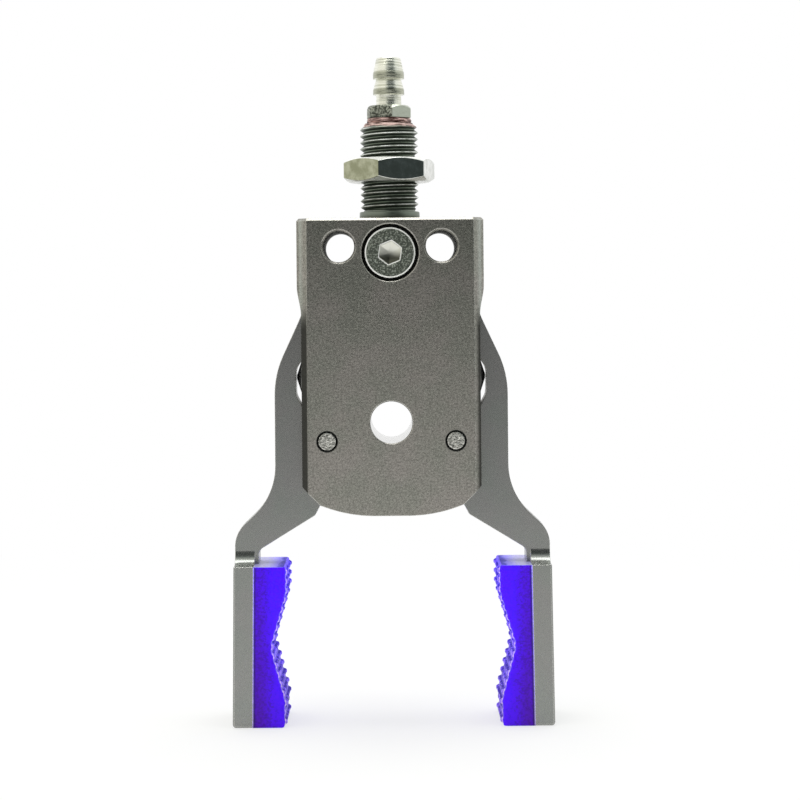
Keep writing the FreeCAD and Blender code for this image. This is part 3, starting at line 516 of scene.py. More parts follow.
# %% Threaded stem
PITCH = 1.1
CREST = 4.93
THREAD_DEPTH = 0.60
CREST_FLAT = 0.07
ROOT_FLAT = 0.16
RUN_OUT = 0.20
THREAD_START = BODY_TOP + 1.55
TOP_BEVEL_HEIGHT = 0.85
TOP_BEVEL_SLOPE = 0.95
FOOT_BEVEL_SLOPE = 1.1
SHADED_TOP = 0.95
COLLAR_DEPTH = 0.25
CROWN_DEPTH = 0.6
STEM_COLUMNS = 144
ROW_STEP = 0.05


def thread_cut(heights, angles):
    """How deep the thread is cut at each height and angle, from 0 at a crest to 1 at a root.

    Height in turns less angle in turns gives the way to the nearest crest, and the cut grows with it.
    """
    turns = heights[:, None] / PITCH - angles[None, :] / (2 * np.pi)
    away = 2 * np.abs((turns + 0.5) % 1 - 0.5)
    return np.clip((away - CREST_FLAT) / (1 - CREST_FLAT - ROOT_FLAT), 0, 1)


def make_stem():
    """Stem: spigot with its seal groove, collar, thread, port and air way, as one closed ring."""
    angles = even_angles(STEM_COLUMNS)
    foot = np.array([
        (1.2, -11.95), (3.95, -11.95), (3.95, -10.41), (2.66, -10.41), (2.66, -8.79), (3.95, -8.79),
        (3.95, 0.0), (5.06, 0.0), (5.13, 0.08), (5.08, 1.15), (4.98, 1.28), (4.40, 1.32), (4.36, 1.5),
    ]) + (0, BODY_TOP)
    crown = np.array([(4.05, 0.0), (2.6, 0.0), (2.5, -0.1), (2.5, -5.0), (1.2, -5.7)]) + (0, STEM_TOP)
    heights = np.arange(THREAD_START, STEM_TOP, ROW_STEP)
    cut = thread_cut(heights, angles)
    upper_bevel = CREST - np.clip(heights - (STEM_TOP - TOP_BEVEL_HEIGHT), 0, None) * TOP_BEVEL_SLOPE
    lower_bevel = foot[-1, 0] + (heights - THREAD_START) * FOOT_BEVEL_SLOPE
    bevelled = np.minimum(upper_bevel, lower_bevel)[:, None] - RUN_OUT * cut
    threaded = np.minimum(CREST - THREAD_DEPTH * cut, bevelled)
    # The top bevel catches the lamp, so its rows get a depth of at least a half, which paints them darker:
    # painted shade.
    near_top = np.clip((heights - (STEM_TOP - SHADED_TOP)) / 0.3, 0, 1)[:, None]
    depths = [COLLAR_DEPTH] * len(foot) + [*np.maximum(cut, 0.5 * near_top)] + [CROWN_DEPTH] * len(crown)
    turned_ring(
        "stem_thread", [*foot[:, 0], *threaded, *crown[:, 0]], [*foot[:, 1], *heights, *crown[:, 1]],
        angles, "stem_steel", "threaded_stem", paints={"depth": rings(depths, angles)}, crisp=50,
    )


make_stem()

# %% [markdown]
# ## Dark steel with bright crests
#
# Each point of the stem knows how deep it lies in the thread's cut, and that depth places painted
# light and shade: a painted highlight on the crests, uneven along the turns, and painted shade in the
# roots. Red sealant has been pressed out under the fitting and stains the last turns pink and brown.
# Stem and gasket share its smears.

# %% Stem finish
SEALANT_HEIGHT = STEM_TOP - 0.5


def red_smear(s):
    """Waxy smears of sealant that lie round the axis, and their colour between brown-red and pink."""
    smear = blotches(s, (1.6, 1.6, 0.16))
    return smear, rise(smear, 0.42, 0.60)


def threaded_steel(s):
    """Sockets of the stem: painted highlights on crests, painted shade in roots and on the top bevel, a red
    stain near the top.
    """
    depth = painted(s, "depth")
    stains = blotches(s, 0.8, detail=3.0)
    lines = blotches(s, (2.0, 2.0, 0.05), detail=1.0)
    glints = blotches(s, (1.6, 1.6, 0.5), shift=(3, 1, 4))
    # Painted highlight on the crests, in uneven glints, and painted shade in the roots, whose flat floors
    # are painted a little lighter.
    crest = (1 - rise(depth, 0.02, 0.13)) * (0.25 + 1.1 * rise(glints, 0.35, 0.6))
    shaded = tint(rise(depth, 0.05, 0.7), (0.25, 0.27, 0.24), (0.060, 0.072, 0.060))
    shaded = tint(rise(depth, 0.92, 1.0), shaded, (0.20, 0.23, 0.19))
    steel = times(shaded, tint(stains, (0.75, 0.78, 0.74), (1.25, 1.28, 1.20)))
    steel = tint(crest.maths("MINIMUM", crest, 1.0), steel, (0.76, 0.78, 0.75))
    red = tint(red_smear(s)[1], (0.12, 0.040, 0.028), (0.80, 0.55, 0.50))
    sealed = rise(axis(s, "Z") + 0.8 * stains, SEALANT_HEIGHT, SEALANT_HEIGHT + 0.5)
    return {
        "Base Color": tint(sealed * 0.85, steel, red),
        "Roughness": 0.30 + 0.18 * stains + 0.12 * depth - 0.10 * crest,
        "Metallic": 0.95 - 0.75 * sealed,
        "Normal": relief(lines, 0.012, 0.5),
    }


dress(["stem_thread"], "threaded_steel", threaded_steel)

# %% [markdown]
# ## Hexagons
#
# A nut starts as a hexagon bar, and the lathe turns a cone onto each end, which leaves curved bright
# bows over the flats. The cone takes away height by a slope times how far the hexagon's radius
# passes the cone's circle. The angles crowd at the corners, which keeps them sharp.

# %% Hexagon
HEXAGON_STEPS = np.radians([0, 0.3, 0.9, 2, 5, 10, 15, 20, 25, 30, 35, 40, 45, 50, 55, 58, 59.1, 59.7])


def hexagon(flats, turn, worn=0.05):
    """Angles that crowd at six corners, and a hexagon's radius at each of them, with worn corners.

    A radius is half the width across flats over the cosine of the angle from a flat's middle.
    """
    start = math.radians(turn)
    angles = (start + np.arange(6)[:, None] * np.pi / 3 + HEXAGON_STEPS).ravel()
    away = (angles - start) % (np.pi / 3) - np.pi / 6
    corner = flats / 2 / math.cos(math.pi / 6)
    return angles, np.minimum(flats / 2 / np.cos(away), corner - worn)


print("hexagon columns:", 6 * len(HEXAGON_STEPS))

# %% [markdown]
# ## The lock nut
#
# A thin plated nut clamps the gripper in its bracket. Its rings run from the threaded hole over
# countersink, end face, cone and flats and back, so it is one closed surface.

# %% Lock nut
NUT_FLATS = 14.0
NUT_TURN = 16.5
NUT_CIRCLE = NUT_FLATS / 2 * 0.955
NUT_CONE_SLOPE = 0.55
NUT_HOLE = 4.97
NUT_COUNTERSINK = 5.45


def make_nut():
    """Nut: hole, countersinks, end faces, cones and six flats."""
    angles, flats = hexagon(NUT_FLATS, NUT_TURN)
    fall = NUT_CONE_SLOPE * (flats - NUT_CIRCLE)
    half = [NUT_HOLE, NUT_COUNTERSINK, NUT_CIRCLE, flats]
    heights = [
        NUT_BASE + 0.45, NUT_BASE, NUT_BASE, NUT_BASE + fall,
        NUT_TOP - fall, NUT_TOP, NUT_TOP, NUT_TOP - 0.45,
    ]
    flat = rings([0, 0, 0, 1, 1, 0, 0, 0], angles)
    return turned_ring("nut", half + half[::-1], heights, angles, "nut_plating", "lock_nut",
                       paints={"flat": flat}, crisp=24)


soften(make_nut(), 0.07)


# %% Plated finish of the nut
def bright_plating(s):
    """Sockets of a plated nut: faint draw marks and small stains, painted highlights on the cones, stronger
    on the upper one, and painted shade on one flat.
    """
    draw = blotches(s, (0.12, 0.12, 2.5))
    stain = blotches(s, 1.6, detail=3.0)
    fine = blotches(s, 0.22, detail=1.0)
    across = axis(s, "X")
    flat = rise(painted(s, "flat"), 0.80, 0.98)
    # The flat at the front left, which gets painted shade.
    shaded_flat = (1 - rise(across, -1.9, -1.7)) * (1 - rise(across.other("Y"), -1.0, 0.0))
    turned_end = 1 - flat
    upper = rise(across.other("Z"), NUT_BASE + 1.0, NUT_TOP - 1.0)
    colour = tint(rise(stain, 0.35, 0.7), (0.58, 0.59, 0.55), (0.77, 0.78, 0.75))
    # Painted highlight: the cones pale and less metallic, more so towards the top.
    colour = tint(turned_end * (0.25 + 0.60 * upper), colour, (0.98, 0.98, 0.94))
    # The painted shade on that flat: olive, mottled by the stains.
    tarnish = tint(rise(stain, 0.3, 0.7), (0.27, 0.28, 0.16), (0.47, 0.48, 0.33))
    return {
        "Base Color": tint(shaded_flat * flat * 0.85, colour, tarnish),
        "Roughness": 0.06 + 0.12 * stain + 0.05 * draw + 0.10 * turned_end,
        "Metallic": 1.0 - 0.75 * turned_end * (0.4 + 0.6 * upper),
        "Normal": relief(draw * 0.7 + fine * 0.3, 0.006, 0.6),
    }


dress(["nut"], "bright_plating", bright_plating)

# %% [markdown]
# ## The hose fitting
#
# A nickel-plated fitting turned from a 7 mm hexagon bar: thread, hexagon, neck and two barbs with a
# straight band and a taper each, for a soft hose. Only the hexagon's rings change with the angle.

# %% Hose fitting
FITTING_FLATS = 7.0
FITTING_TURN = 37.4
FITTING_CIRCLE = FITTING_FLATS / 2 * 0.95
FITTING_CONE_SLOPE = 0.85
HEXAGON_HEIGHT = 2.2


def make_fitting():
    """Fitting: rings from the bore's foot over thread, hexagon, neck and barbs, and down the bore."""
    angles, flats = hexagon(FITTING_FLATS, FITTING_TURN, worn=0.04)
    fall = FITTING_CONE_SLOPE * (flats - FITTING_CIRCLE)
    below = np.array([(1.0, -4.0), (2.30, -4.0), (2.45, -3.85), (2.45, -0.02), (3.2, 0.0)])
    above = rounded([
        (FITTING_CIRCLE, HEXAGON_HEIGHT), (2.15, HEXAGON_HEIGHT), (2.12, 4.05), (2.65, 4.10), (2.65, 4.85),
        (2.13, 6.72), (2.65, 6.80), (2.65, 7.65), (2.05, 10.35), (1.0, 10.4),
    ], [0, 0.12, 0.05, 0.06, 0.06, 0.08, 0.06, 0.06, 0.22, 0.12], steps=4)
    radii = [*below[:, 0], flats, flats, *above[:, 0]]
    heights = [*below[:, 1], 0.12, HEXAGON_HEIGHT - fall, *above[:, 1]]
    heights = [height + FITTING_BASE for height in heights]
    turned_ring("fitting", radii, heights, angles, "nickelled_brass", "hose_barb", crisp=24)


make_fitting()


# %% Nickelled finish of the fitting
def nickelled(s):
    """Sockets of nickel over brass: lathe lines, painted shade on the straight bands, a hexagon darker on
    one side.
    """
    height = axis(s, "Z") - FITTING_BASE
    lines = blotches(s, (9.0, 9.0, 0.24), detail=3.0)
    mottle = blotches(s, 0.34, detail=3.0)
    bar = 1 - rise(height, HEXAGON_HEIGHT - 0.05, HEXAGON_HEIGHT + 0.05)
    # The hexagon is darker, rougher and less metallic on its side towards -X.
    darker_half = 1 - rise(axis(s, "X"), 0.45, 0.60)
    level = s.node("ShaderNodeVectorMath", {"operation": "MULTIPLY"}, {0: s.place, 1: (1, 1, 0)})
    radius = s.node("ShaderNodeVectorMath", {"operation": "LENGTH"}, {0: level}, out="Value")
    round_part = tint(rise(lines, 0.35, 0.6), (0.60, 0.61, 0.50), (0.90, 0.90, 0.80))
    # Painted shade on the straight bands of the barbs.
    round_part = tint(rise(radius, 2.54, 2.62) * 0.8, round_part, (0.36, 0.37, 0.28))
    dark_side = tint(rise(mottle, 0.42, 0.62), (0.05, 0.055, 0.04), (0.42, 0.44, 0.36))
    light_side = tint(mottle, (0.42, 0.45, 0.36), (0.62, 0.65, 0.56))
    return {
        "Base Color": tint(bar, round_part, tint(darker_half, light_side, dark_side)),
        "Roughness": 0.20 + 0.12 * lines + 0.04 * bar + 0.2 * bar * darker_half,
        "Metallic": 1.0 - 0.6 * bar * darker_half,
        "Normal": relief(lines * (1 - bar) + 0.15 * mottle * bar, 0.10, 0.9),
    }


dress(["fitting"], "nickelled_turned", nickelled)

# %% [markdown]
# ## Gasket under the hexagon
#
# A soft red washer is squeezed between hexagon and stem, so its rim bulges unevenly. The rim's
# radius is a round swell with fine ridges, plus a few slow waves round the axis.

# %% Gasket
GASKET_RIM = 3.62
GASKET_HOLE = 2.55
GASKET_THICKNESS = 0.8


def make_gasket():
    """Gasket: a ring whose rim swells at mid height, carries fine ridges and wanders with the angle."""
    angles = even_angles(96)
    share = np.linspace(0, 1, 25)
    swell = 0.14 * np.sin(np.pi * share) + 0.05 * np.cos(6 * np.pi * share)
    waves = 0.05 * np.sin(5 * angles + 0.7) + 0.03 * np.sin(11 * angles + 2.1)
    radii = [GASKET_HOLE, *(GASKET_RIM + swell[:, None] + waves), GASKET_HOLE]
    heights = np.concatenate(([0.0], share, [1.0])) * GASKET_THICKNESS + STEM_TOP
    turned_ring("gasket", radii, heights, angles, "gasket_red", "barb_gasket")


def red_seal(s):
    """Sockets of the gasket: brown-red with paler, waxy smears."""
    smear, mask = red_smear(s)
    return {
        "Base Color": tint(mask, (0.10, 0.030, 0.022), (0.80, 0.55, 0.50)),
        "Roughness": 0.42 + 0.2 * smear,
        "Normal": relief(smear, 0.05, 0.7),
    }


make_gasket()
dress(["gasket"], "red_seal", red_seal)

# %% [markdown]
# ## The screw in the front face
#
# A low socket-head screw holds the stem in the body. Its blackened head is mottled, and the bevel
# round it and the socket's lips carry a painted highlight. The screw is turned about Z like the
# others and then laid down, so that its head looks forward.

# %% Stem screw
HEAD_FACE = -FRONT_FACE - 0.1
SOCKET_FLATS = 3.5
SOCKET_TURN = 22.0


def lay_forward(points, height):
    """Turn points about X so that their +Z looks along -Y, and lift them to a height."""
    x, y, z = points[..., 0], points[..., 1], points[..., 2]
    return np.stack((x, -z, y + height), axis=-1)


def make_screw():
    """Screw: rings from the shank's end over the head and down into the hexagon socket."""
    angles, flats = hexagon(SOCKET_FLATS, SOCKET_TURN, worn=0.02)
    outside = np.array([
        (0.0, -6.8), (2.1, -6.8), (2.45, -6.45), (2.45, -3.5), (4.17, -3.5),
        (4.22, -3.4), (4.22, -0.20), (4.19, -0.12), (4.08, -0.03), (3.98, 0.0), (3.94, 0.0),
    ])
    radii = [*outside[:, 0], flats + 0.17, flats + 0.13, flats, flats * 0.97, flats * 0.95, 0.0]
    depths = [*outside[:, 1], 0.0, 0.0, -0.12, -0.20, -0.50, -1.45]
    # The rings of the rim bevel and of the socket's lips carry a painted highlight.
    painted_highlight = rings([0, 0, 0, 0, 0, 0, 0, 1, 1, 1, 0, 0, 1, 1, 0, 0, 0], angles)
    points = lay_forward(turned(radii, depths, angles) + (0, 0, HEAD_FACE), SCREW_HEIGHT)
    make_piece("head_screw", points, "frame", "dark_steel", ["stem_screw"], paints={"painted_highlight": painted_highlight}, crisp=24)


make_screw()


# %% Blackened finish of the screw
def blackened(s):
    """Sockets of black oxide: dark with grey flecks, a painted highlight on the bevel and the socket's
    lips, painted light in the socket.
    """
    across = axis(s, "X")
    up = across.other("Z") - SCREW_HEIGHT
    away = (across * across + up * up) ** 0.5
    fleck = blotches(s, 0.28, detail=3.0)
    cloud = blotches(s, 1.3)
    # A painted highlight, near white and hardly metallic, on the rim bevel and the socket's lips.
    painted_highlight = rise(painted(s, "painted_highlight"), 0.3, 0.7)
    socket = rise(across.other("Y"), 0.13 - HEAD_FACE, 0.20 - HEAD_FACE) * (1 - rise(away, 2.1, 2.3))
    worn = rise(fleck * 0.8 + cloud * 0.2, 0.48, 0.64)
    # Painted light in the socket: its walls light towards the top, dark towards the bottom.
    inside = tint(rise(up, -1.0, 0.7), (0.10, 0.10, 0.08), (0.80, 0.80, 0.72))
    colour = tint(socket, tint(worn, (0.13, 0.145, 0.12), (0.58, 0.62, 0.53)), inside)
    return {
        "Base Color": tint(painted_highlight, colour, (1.0, 1.0, 0.97)),
        "Roughness": 0.34 + 0.12 * fleck - 0.14 * painted_highlight,
        "Metallic": 0.95 - 0.85 * painted_highlight,
        "Normal": relief(fleck * (1 - painted_highlight), 0.040, 0.9),
    }


dress(["head_screw"], "blackened_steel", blackened)

# %% [markdown]
# ## Pivot pins with staked ends
#
# Each arm turns on a steel pin pressed through the body, whose ends are rough from staking. A sum
# of a few random plane waves gives a lumpy end face, which fades to nothing at the rim, and the
# finish adds dark scars.

# %% Pivot pins
SIDES = {1: "right", -1: "left"}
PIN_RADIUS = 1.44
PIN_BEVEL = 0.10
PIN_END = -FRONT_FACE - 0.05
END_RINGS = 14
LUMP_HEIGHT = 0.045
WAVE_COUNT = 14


def lumps(x, y, seed):
    """A sum of cosines with random directions, lengths and phases, scaled to run from -1 to 1."""
    source = np.random.default_rng(seed)
    heading = source.uniform(0, np.pi, WAVE_COUNT)
    pace = 2 * np.pi / source.uniform(0.35, 1.1, WAVE_COUNT)
    phase = source.uniform(0, 2 * np.pi, WAVE_COUNT)
    along = x[..., None] * np.cos(heading) + y[..., None] * np.sin(heading)
    total = np.cos(along * pace + phase).sum(axis=-1)
    return total / np.abs(total).max()


def make_pin(side, seed):
    """Pin: a lumpy end, a small bevel, the shank, and the same again at the back."""
    angles = even_angles(72)
    spread = np.linspace(0, 1, END_RINGS) * (PIN_RADIUS - PIN_BEVEL)
    radii = np.concatenate((spread, [PIN_RADIUS, PIN_RADIUS], spread[::-1]))
    shank = PIN_END - PIN_BEVEL
    heights = np.repeat([-PIN_END, -shank, shank, PIN_END], [END_RINGS, 1, 1, END_RINGS])
    points = turned(radii, heights, angles)
    fade = np.clip(1.25 - radii / (PIN_RADIUS - PIN_BEVEL), 0, 0.5) * 2
    fade[END_RINGS:-END_RINGS] = 0
    rough = lumps(points[..., 0], points[..., 1], seed) * fade[:, None]
    points[..., 2] -= LUMP_HEIGHT * (1 + rough) * np.sign(points[..., 2]) * (fade[:, None] > 0)
    points = lay_forward(points, PIN_HEIGHT) + (side * PIN_REACH, 0, 0)
    name = SIDES[side]
    make_piece(f"{name}_pin", points, "frame", "pin_steel", [f"{name}_pivot_pin"])


for side, seed in ((1, 5), (-1, 11)):
    make_pin(side, seed)


def staked_steel(s):
    """Sockets of the pins: pale ground steel with dark slanting scars."""
    scars = blotches(s, (0.5, 0.5, 0.22), detail=4.0)
    spots = blotches(s, 0.25, shift=(4, 4, 4))
    mask = rise(scars * 0.6 + spots * 0.4, 0.40, 0.60)
    return {
        "Base Color": tint(mask, (0.20, 0.20, 0.18), (0.82, 0.81, 0.75)),
        "Roughness": 0.38 - 0.10 * mask,
        "Normal": relief(mask, 0.03, 0.8),
    }


dress(["right_pin", "left_pin"], "staked_steel", staked_steel, {"Metallic": 0.95})

# %% [markdown]
# ## Rubber pads with nubs
#
# Each jaw carries a moulded pad, whose face is a wide V covered in rows of small round nubs. They
# show as bumps along the pad's outline. The pad is one surface: a profile that runs from the jaw
# plate over the rounded top edge, down the V and back to the plate, carried from front to back.
# Each point then moves out along the profile's own direction by the height of the nearest nub. The
# flat back is a single face.

# %% Pad sizes
PAD_THICKNESS = 5.35
PAD_HALF_DEPTH = 7.0
PAD_EDGE = 0.32
PLATE_AT_TOP = 23.3
JAW_LEAN = math.tan(math.radians(0.7))
GROOVE_DROP = 13.5
GROOVE_HALF = 8.9
GROOVE_DEPTH = 2.5
GROOVE_ROUNDINGS = (3.0, 4.0, 3.0)
NUB_PITCH = 1.56
NUB_RADIUS = 0.64
NUB_TOP = 0.18
NUB_HEIGHT = 0.50
INNER_NUB_HEIGHT = 0.40
ROWS_EACH_WAY = 8
COLUMNS_EACH_WAY = 4
LOW_ROW = 7
LOW_ROW_SHARE = 0.4
PAD_STEP = 0.115


def nub_share(drop, across):
    """The nearest nub at each point: 1 within its flat top, falling as a half cosine to 0 at its foot.

    The second array is that nub's height: the outermost columns stand taller than the inner ones, and
    the last row but one is low.
    """
    row = np.round((drop - PAD_MIDDLE) / NUB_PITCH).clip(-ROWS_EACH_WAY, ROWS_EACH_WAY)
    column = np.round(across / NUB_PITCH).clip(-COLUMNS_EACH_WAY, COLUMNS_EACH_WAY)
    away = np.hypot(drop - PAD_MIDDLE - row * NUB_PITCH, across - column * NUB_PITCH)
    down = np.clip((away - NUB_TOP) / (NUB_RADIUS - NUB_TOP), 0, 1)
    height = np.where(np.abs(column) == COLUMNS_EACH_WAY, NUB_HEIGHT, INNER_NUB_HEIGHT)
    return 0.5 + 0.5 * np.cos(np.pi * down), height * np.where(row == LOW_ROW, LOW_ROW_SHARE, 1)


def resample(line, stations):
    """Points on a line at given distances along it."""
    length = np.concatenate(([0], np.cumsum(np.linalg.norm(np.diff(line, axis=0), axis=1))))
    return np.stack([np.interp(stations, length, part) for part in line.T], axis=1), length[-1]


PAD_HEIGHT = JAW_TOP - JAW_FOOT
PAD_MIDDLE = PAD_HEIGHT / 2
print(f"pad {PAD_HEIGHT:.1f} mm high, {2 * ROWS_EACH_WAY + 1} rows of {2 * COLUMNS_EACH_WAY + 1} nubs")


# %% Pads
def pad_profile():
    """The pad's outline as drop and thickness, and its outward direction, 0 where it lies on the plate."""
    corners = [
        (0, 0), (0, PAD_THICKNESS), (GROOVE_DROP - GROOVE_HALF, PAD_THICKNESS),
        (GROOVE_DROP, PAD_THICKNESS - GROOVE_DEPTH), (GROOVE_DROP + GROOVE_HALF, PAD_THICKNESS),
        (PAD_HEIGHT, PAD_THICKNESS), (PAD_HEIGHT, 0),
    ]
    line = rounded(corners, [0, PAD_EDGE, *GROOVE_ROUNDINGS, PAD_EDGE, 0], steps=9)
    whole = resample(line, [0])[1]
    first = PAD_THICKNESS - PAD_EDGE
    count = int((whole - 2 * first) / PAD_STEP)
    stations = np.concatenate(([0], np.linspace(first, whole - first, count), [whole]))
    outline = resample(line, stations)[0]
    tangent = np.gradient(outline[1:-1], axis=0)
    tangent /= np.linalg.norm(tangent, axis=1)[:, None]
    outward = np.zeros_like(outline)
    outward[1:-1] = np.stack((-tangent[:, 1], tangent[:, 0]), axis=1)
    return outline, outward


def make_pad(side):
    """Pad: the outline carried from front to back, long edges rounded, face lifted by the nubs."""
    outline, outward = pad_profile()
    curve = np.linspace(0, np.pi / 2, 5)
    corner_y = PAD_HALF_DEPTH - PAD_EDGE + PAD_EDGE * np.sin(curve)
    flat = np.linspace(0, PAD_HALF_DEPTH - PAD_EDGE, 58, endpoint=False)
    half_y = np.concatenate((flat, corner_y, [PAD_HALF_DEPTH]))
    half_inset = np.concatenate((np.zeros(len(flat)), PAD_EDGE * (1 - np.cos(curve)), [PAD_THICKNESS]))
    across = np.concatenate((-half_y[:0:-1], half_y))
    inset = np.concatenate((half_inset[:0:-1], half_inset))
    drop, y = np.meshgrid(outline[:, 0], across, indexing="ij")
    reach = np.clip(outline[:, 1][:, None] - inset[None, :], 0, None)
    on_face = (outline[:, 1] > PAD_THICKNESS - GROOVE_DEPTH - 0.1)[:, None] & (inset == 0)[None, :]
    nubs, nub_height = nub_share(drop, y)
    nubs = nubs * on_face
    flat_top = drop < 0.01
    drop = drop + outward[:, 0][:, None] * nubs * nub_height
    thickness = reach + outward[:, 1][:, None] * nubs * nub_height
    x = side * (PLATE_AT_TOP + drop * JAW_LEAN - thickness)
    rows, columns = drop.shape
    number = np.arange(rows * columns).reshape(rows, columns)
    rim = np.concatenate((number[0], number[1:, -1], number[-1, -2::-1], number[-2:0:-1, 0]))
    faces = grid_faces(rows, columns, wrap_columns=False) + [rim.tolist()]
    name = SIDES[side]
    points = np.stack((x, y, JAW_TOP - drop), axis=-1)
    paints = {"nub": nubs - 1.0 * ~on_face, "reach": thickness / PAD_THICKNESS, "top": flat_top}
    make_piece(
        f"{name}_rubber", points, f"{name}_jaw", "pad_rubber", [f"{name}_pad"], faces, paints, crisp=48,
    )


for side in SIDES:
    make_pad(side)

# %% [markdown]
# ## Violet rubber
#
# Light enters the rubber at its nubbed face and spreads, so that side is a bright blue violet and
# the side at the plate nearly navy. Scattering gives part of that, and painted light the rest: a
# colour that runs from navy to violet, and a weak glow of the same violet, stronger towards the top.
# The colour follows three painted numbers: how far a point stands from the plate, how high it is on
# a nub, and whether it lies on the flat top, which is pale. Painted light and shade follow them too:
# pale nub tips, dark dots of painted shade on the nubs behind the front column, painted highlights
# on the front column, on the edges and at the plate, and a painted sheen on the flat top.

# %% Rubber finish
def violet_rubber(s):
    """Sockets of the pads: painted light from navy at the plate to violet inside, painted light and shade
    on the nubs, a pale top with a painted sheen.
    """
    reach, nub, top = (painted(s, name) for name in ("reach", "nub", "top"))
    cloud = blotches(s, (3.0, 3.0, 6.0))
    fine = blotches(s, 0.35)
    # Painted light: navy at the plate, bright violet towards the nubbed face.
    outer = rise(reach + 0.25 * (cloud - 0.5), 0.15, 0.95)
    violet = tint(outer, (0.070, 0.002, 0.44), (0.080, 0.002, 1.00))
    # A navy band beside the plate, and a thin painted highlight where the rubber meets it.
    violet = tint(1 - rise(reach, 0.04, 0.12), violet, (0.030, 0.004, 0.17))
    violet = tint(1 - rise(reach, 0.015, 0.04), violet, (0.42, 0.34, 0.80))
    # The nubbed face is lilac, the nubs' flanks deeper violet and their tips pale: painted light and shade
    # of the nubs.
    between = rise(nub, -0.5, 0.0)
    violet = tint(between, violet, (0.21, 0.14, 0.66))
    violet = tint(rise(nub, 0.22, 0.40), violet, (0.16, 0.09, 0.72))
    violet = tint(rise(nub, 0.70, 0.92), violet, (0.40, 0.29, 0.98))
    backward = axis(s, "Y")
    # Dark dots of painted shade on the nubs behind the front column.
    patch = blotches(s, (1.0, 1.9, 1.1), detail=1.0, shift=(1, 6, 3))
    shade_dots = rise(patch, 0.44, 0.54) * rise(nub, 0.02, 0.20) * rise(backward, -6.0, -5.0)
    violet = tint(shade_dots * 0.75, violet, (0.024, 0.014, 0.28))
    # A pale pink painted highlight at the foot of the front column's nubs.
    in_front = 1 - rise(backward, -6.6, -6.0)
    gleam = in_front * rise(nub, 0.04, 0.2) * (1 - rise(nub, 0.4, 0.7))
    violet = tint(gleam * 0.7, violet, (0.88, 0.66, 0.94))
    soft = rounded_normal(s, 0.16)
    # A painted highlight on the edges off the nubbed face.
    edges = edge_mask(soft) * (1 - between)
    violet = tint(edges * 0.7, violet, (0.26, 0.16, 0.98))
    # The flat top is pale grey lilac, a painted sheen of the light from above, and darker towards the
    # nubbed side.
    pale = tint(rise(reach + 0.3 * (fine - 0.5), 0.2, 0.8), (0.36, 0.35, 0.56), (0.25, 0.22, 0.80))
    pale = tint(rise(reach + 0.4 * (cloud - 0.5), 0.72, 0.86) * 0.8, pale, (0.03, 0.02, 0.42))
    violet = tint(rise(top, 0.4, 0.9), violet, pale)
    speckle = blotches(s, (0.42, 0.42, 0.36), shift=(9, 2, 6))
    violet = times(violet, tint(rise(speckle, 0.32, 0.62), (0.76, 0.86, 0.74), (1.06, 1.00, 1.16)))
    # The glow is painted light: stronger towards the pad's top, weaker on the flat top.
    climb = {"Value": axis(s, "Z"), "From Min": JAW_FOOT, "From Max": JAW_TOP}
    upward = s.node("ShaderNodeMapRange", None, climb)
    light = tint(upward * (1 - 0.8 * top), (1.0, 1.0, 0.60), (1.0, 1.0, 3.3))
    return {
        "Base Color": violet,
        "Roughness": 0.26 + 0.15 * fine + 0.35 * between,
        "Emission Color": times(violet, light),
        "Normal": relief(fine, 0.02, 0.5, soft),
    }


dress(["right_rubber", "left_rubber"], "violet_rubber", violet_rubber, {
    "Subsurface Weight": 0.2,
    "Subsurface Radius": (0.6, 0.3, 1.0),
    "Subsurface Scale": 0.002,
    "Specular IOR Level": 0.22,
    "Emission Strength": 0.26,
})

# %% [markdown]
# ## Return springs
#
# Two wire springs push the jaws apart again when the air is let out. Each is a tube carried along a
# helix, whose first and last turns lie close together.

# %% Springs
WIRE_RADIUS = 0.25
COIL_RADIUS = 1.45
COILS = 6.5
SEAT_GAP = 0.45
CLOSING = 0.7
WIRE_COLUMNS = 14


def make_spring(side):
    """Spring: a wire round a helix along X, with its end turns closed up.

    Points lie at the helix plus the wire's radius times cosine and sine along two cross directions.
    """
    name = SIDES[side]
    low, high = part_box(f"{name}_return_spring")
    inner, outer = sorted((abs(low.x) / MM, abs(high.x) / MM))
    height = (low.z + high.z) / 2 / MM
    share = np.linspace(0, 1, 400)
    turn = 2 * np.pi * COILS * share
    run = share - CLOSING / (2 * np.pi) * np.sin(2 * np.pi * share)
    x = inner + SEAT_GAP + WIRE_RADIUS + run * (outer - inner - 2 * WIRE_RADIUS - SEAT_GAP)
    centre = np.stack((side * x, COIL_RADIUS * np.cos(turn), height + COIL_RADIUS * np.sin(turn)), axis=1)
    tangent = np.gradient(centre, axis=0)
    tangent /= np.linalg.norm(tangent, axis=1)[:, None]
    radial = np.stack((np.zeros(len(turn)), np.cos(turn), np.sin(turn)), axis=1)
    radii = np.full(len(turn), WIRE_RADIUS)
    radii[[0, -1]] = 0
    around = even_angles(WIRE_COLUMNS)[:, None]
    swing = radial[:, None] * np.cos(around) + np.cross(tangent, radial)[:, None] * np.sin(around)
    points = centre[:, None] + swing * radii[:, None, None]
    points[0] = points[1].mean(axis=0)
    points[-1] = points[-2].mean(axis=0)
    piece = make_piece(f"{name}_spring", points, "frame", "spring_steel", [f"{name}_return_spring"])
    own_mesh(piece)


for side in SIDES:
    make_spring(side)

# %% [markdown]
# ## Finishes of the hidden pieces
#
# Pistons, bushes, springs and sealing rings are seen only through gaps, but each still has its own
# stuff: dark anodised pistons with turning marks, sintered bronze, drawn wire and black rubber.

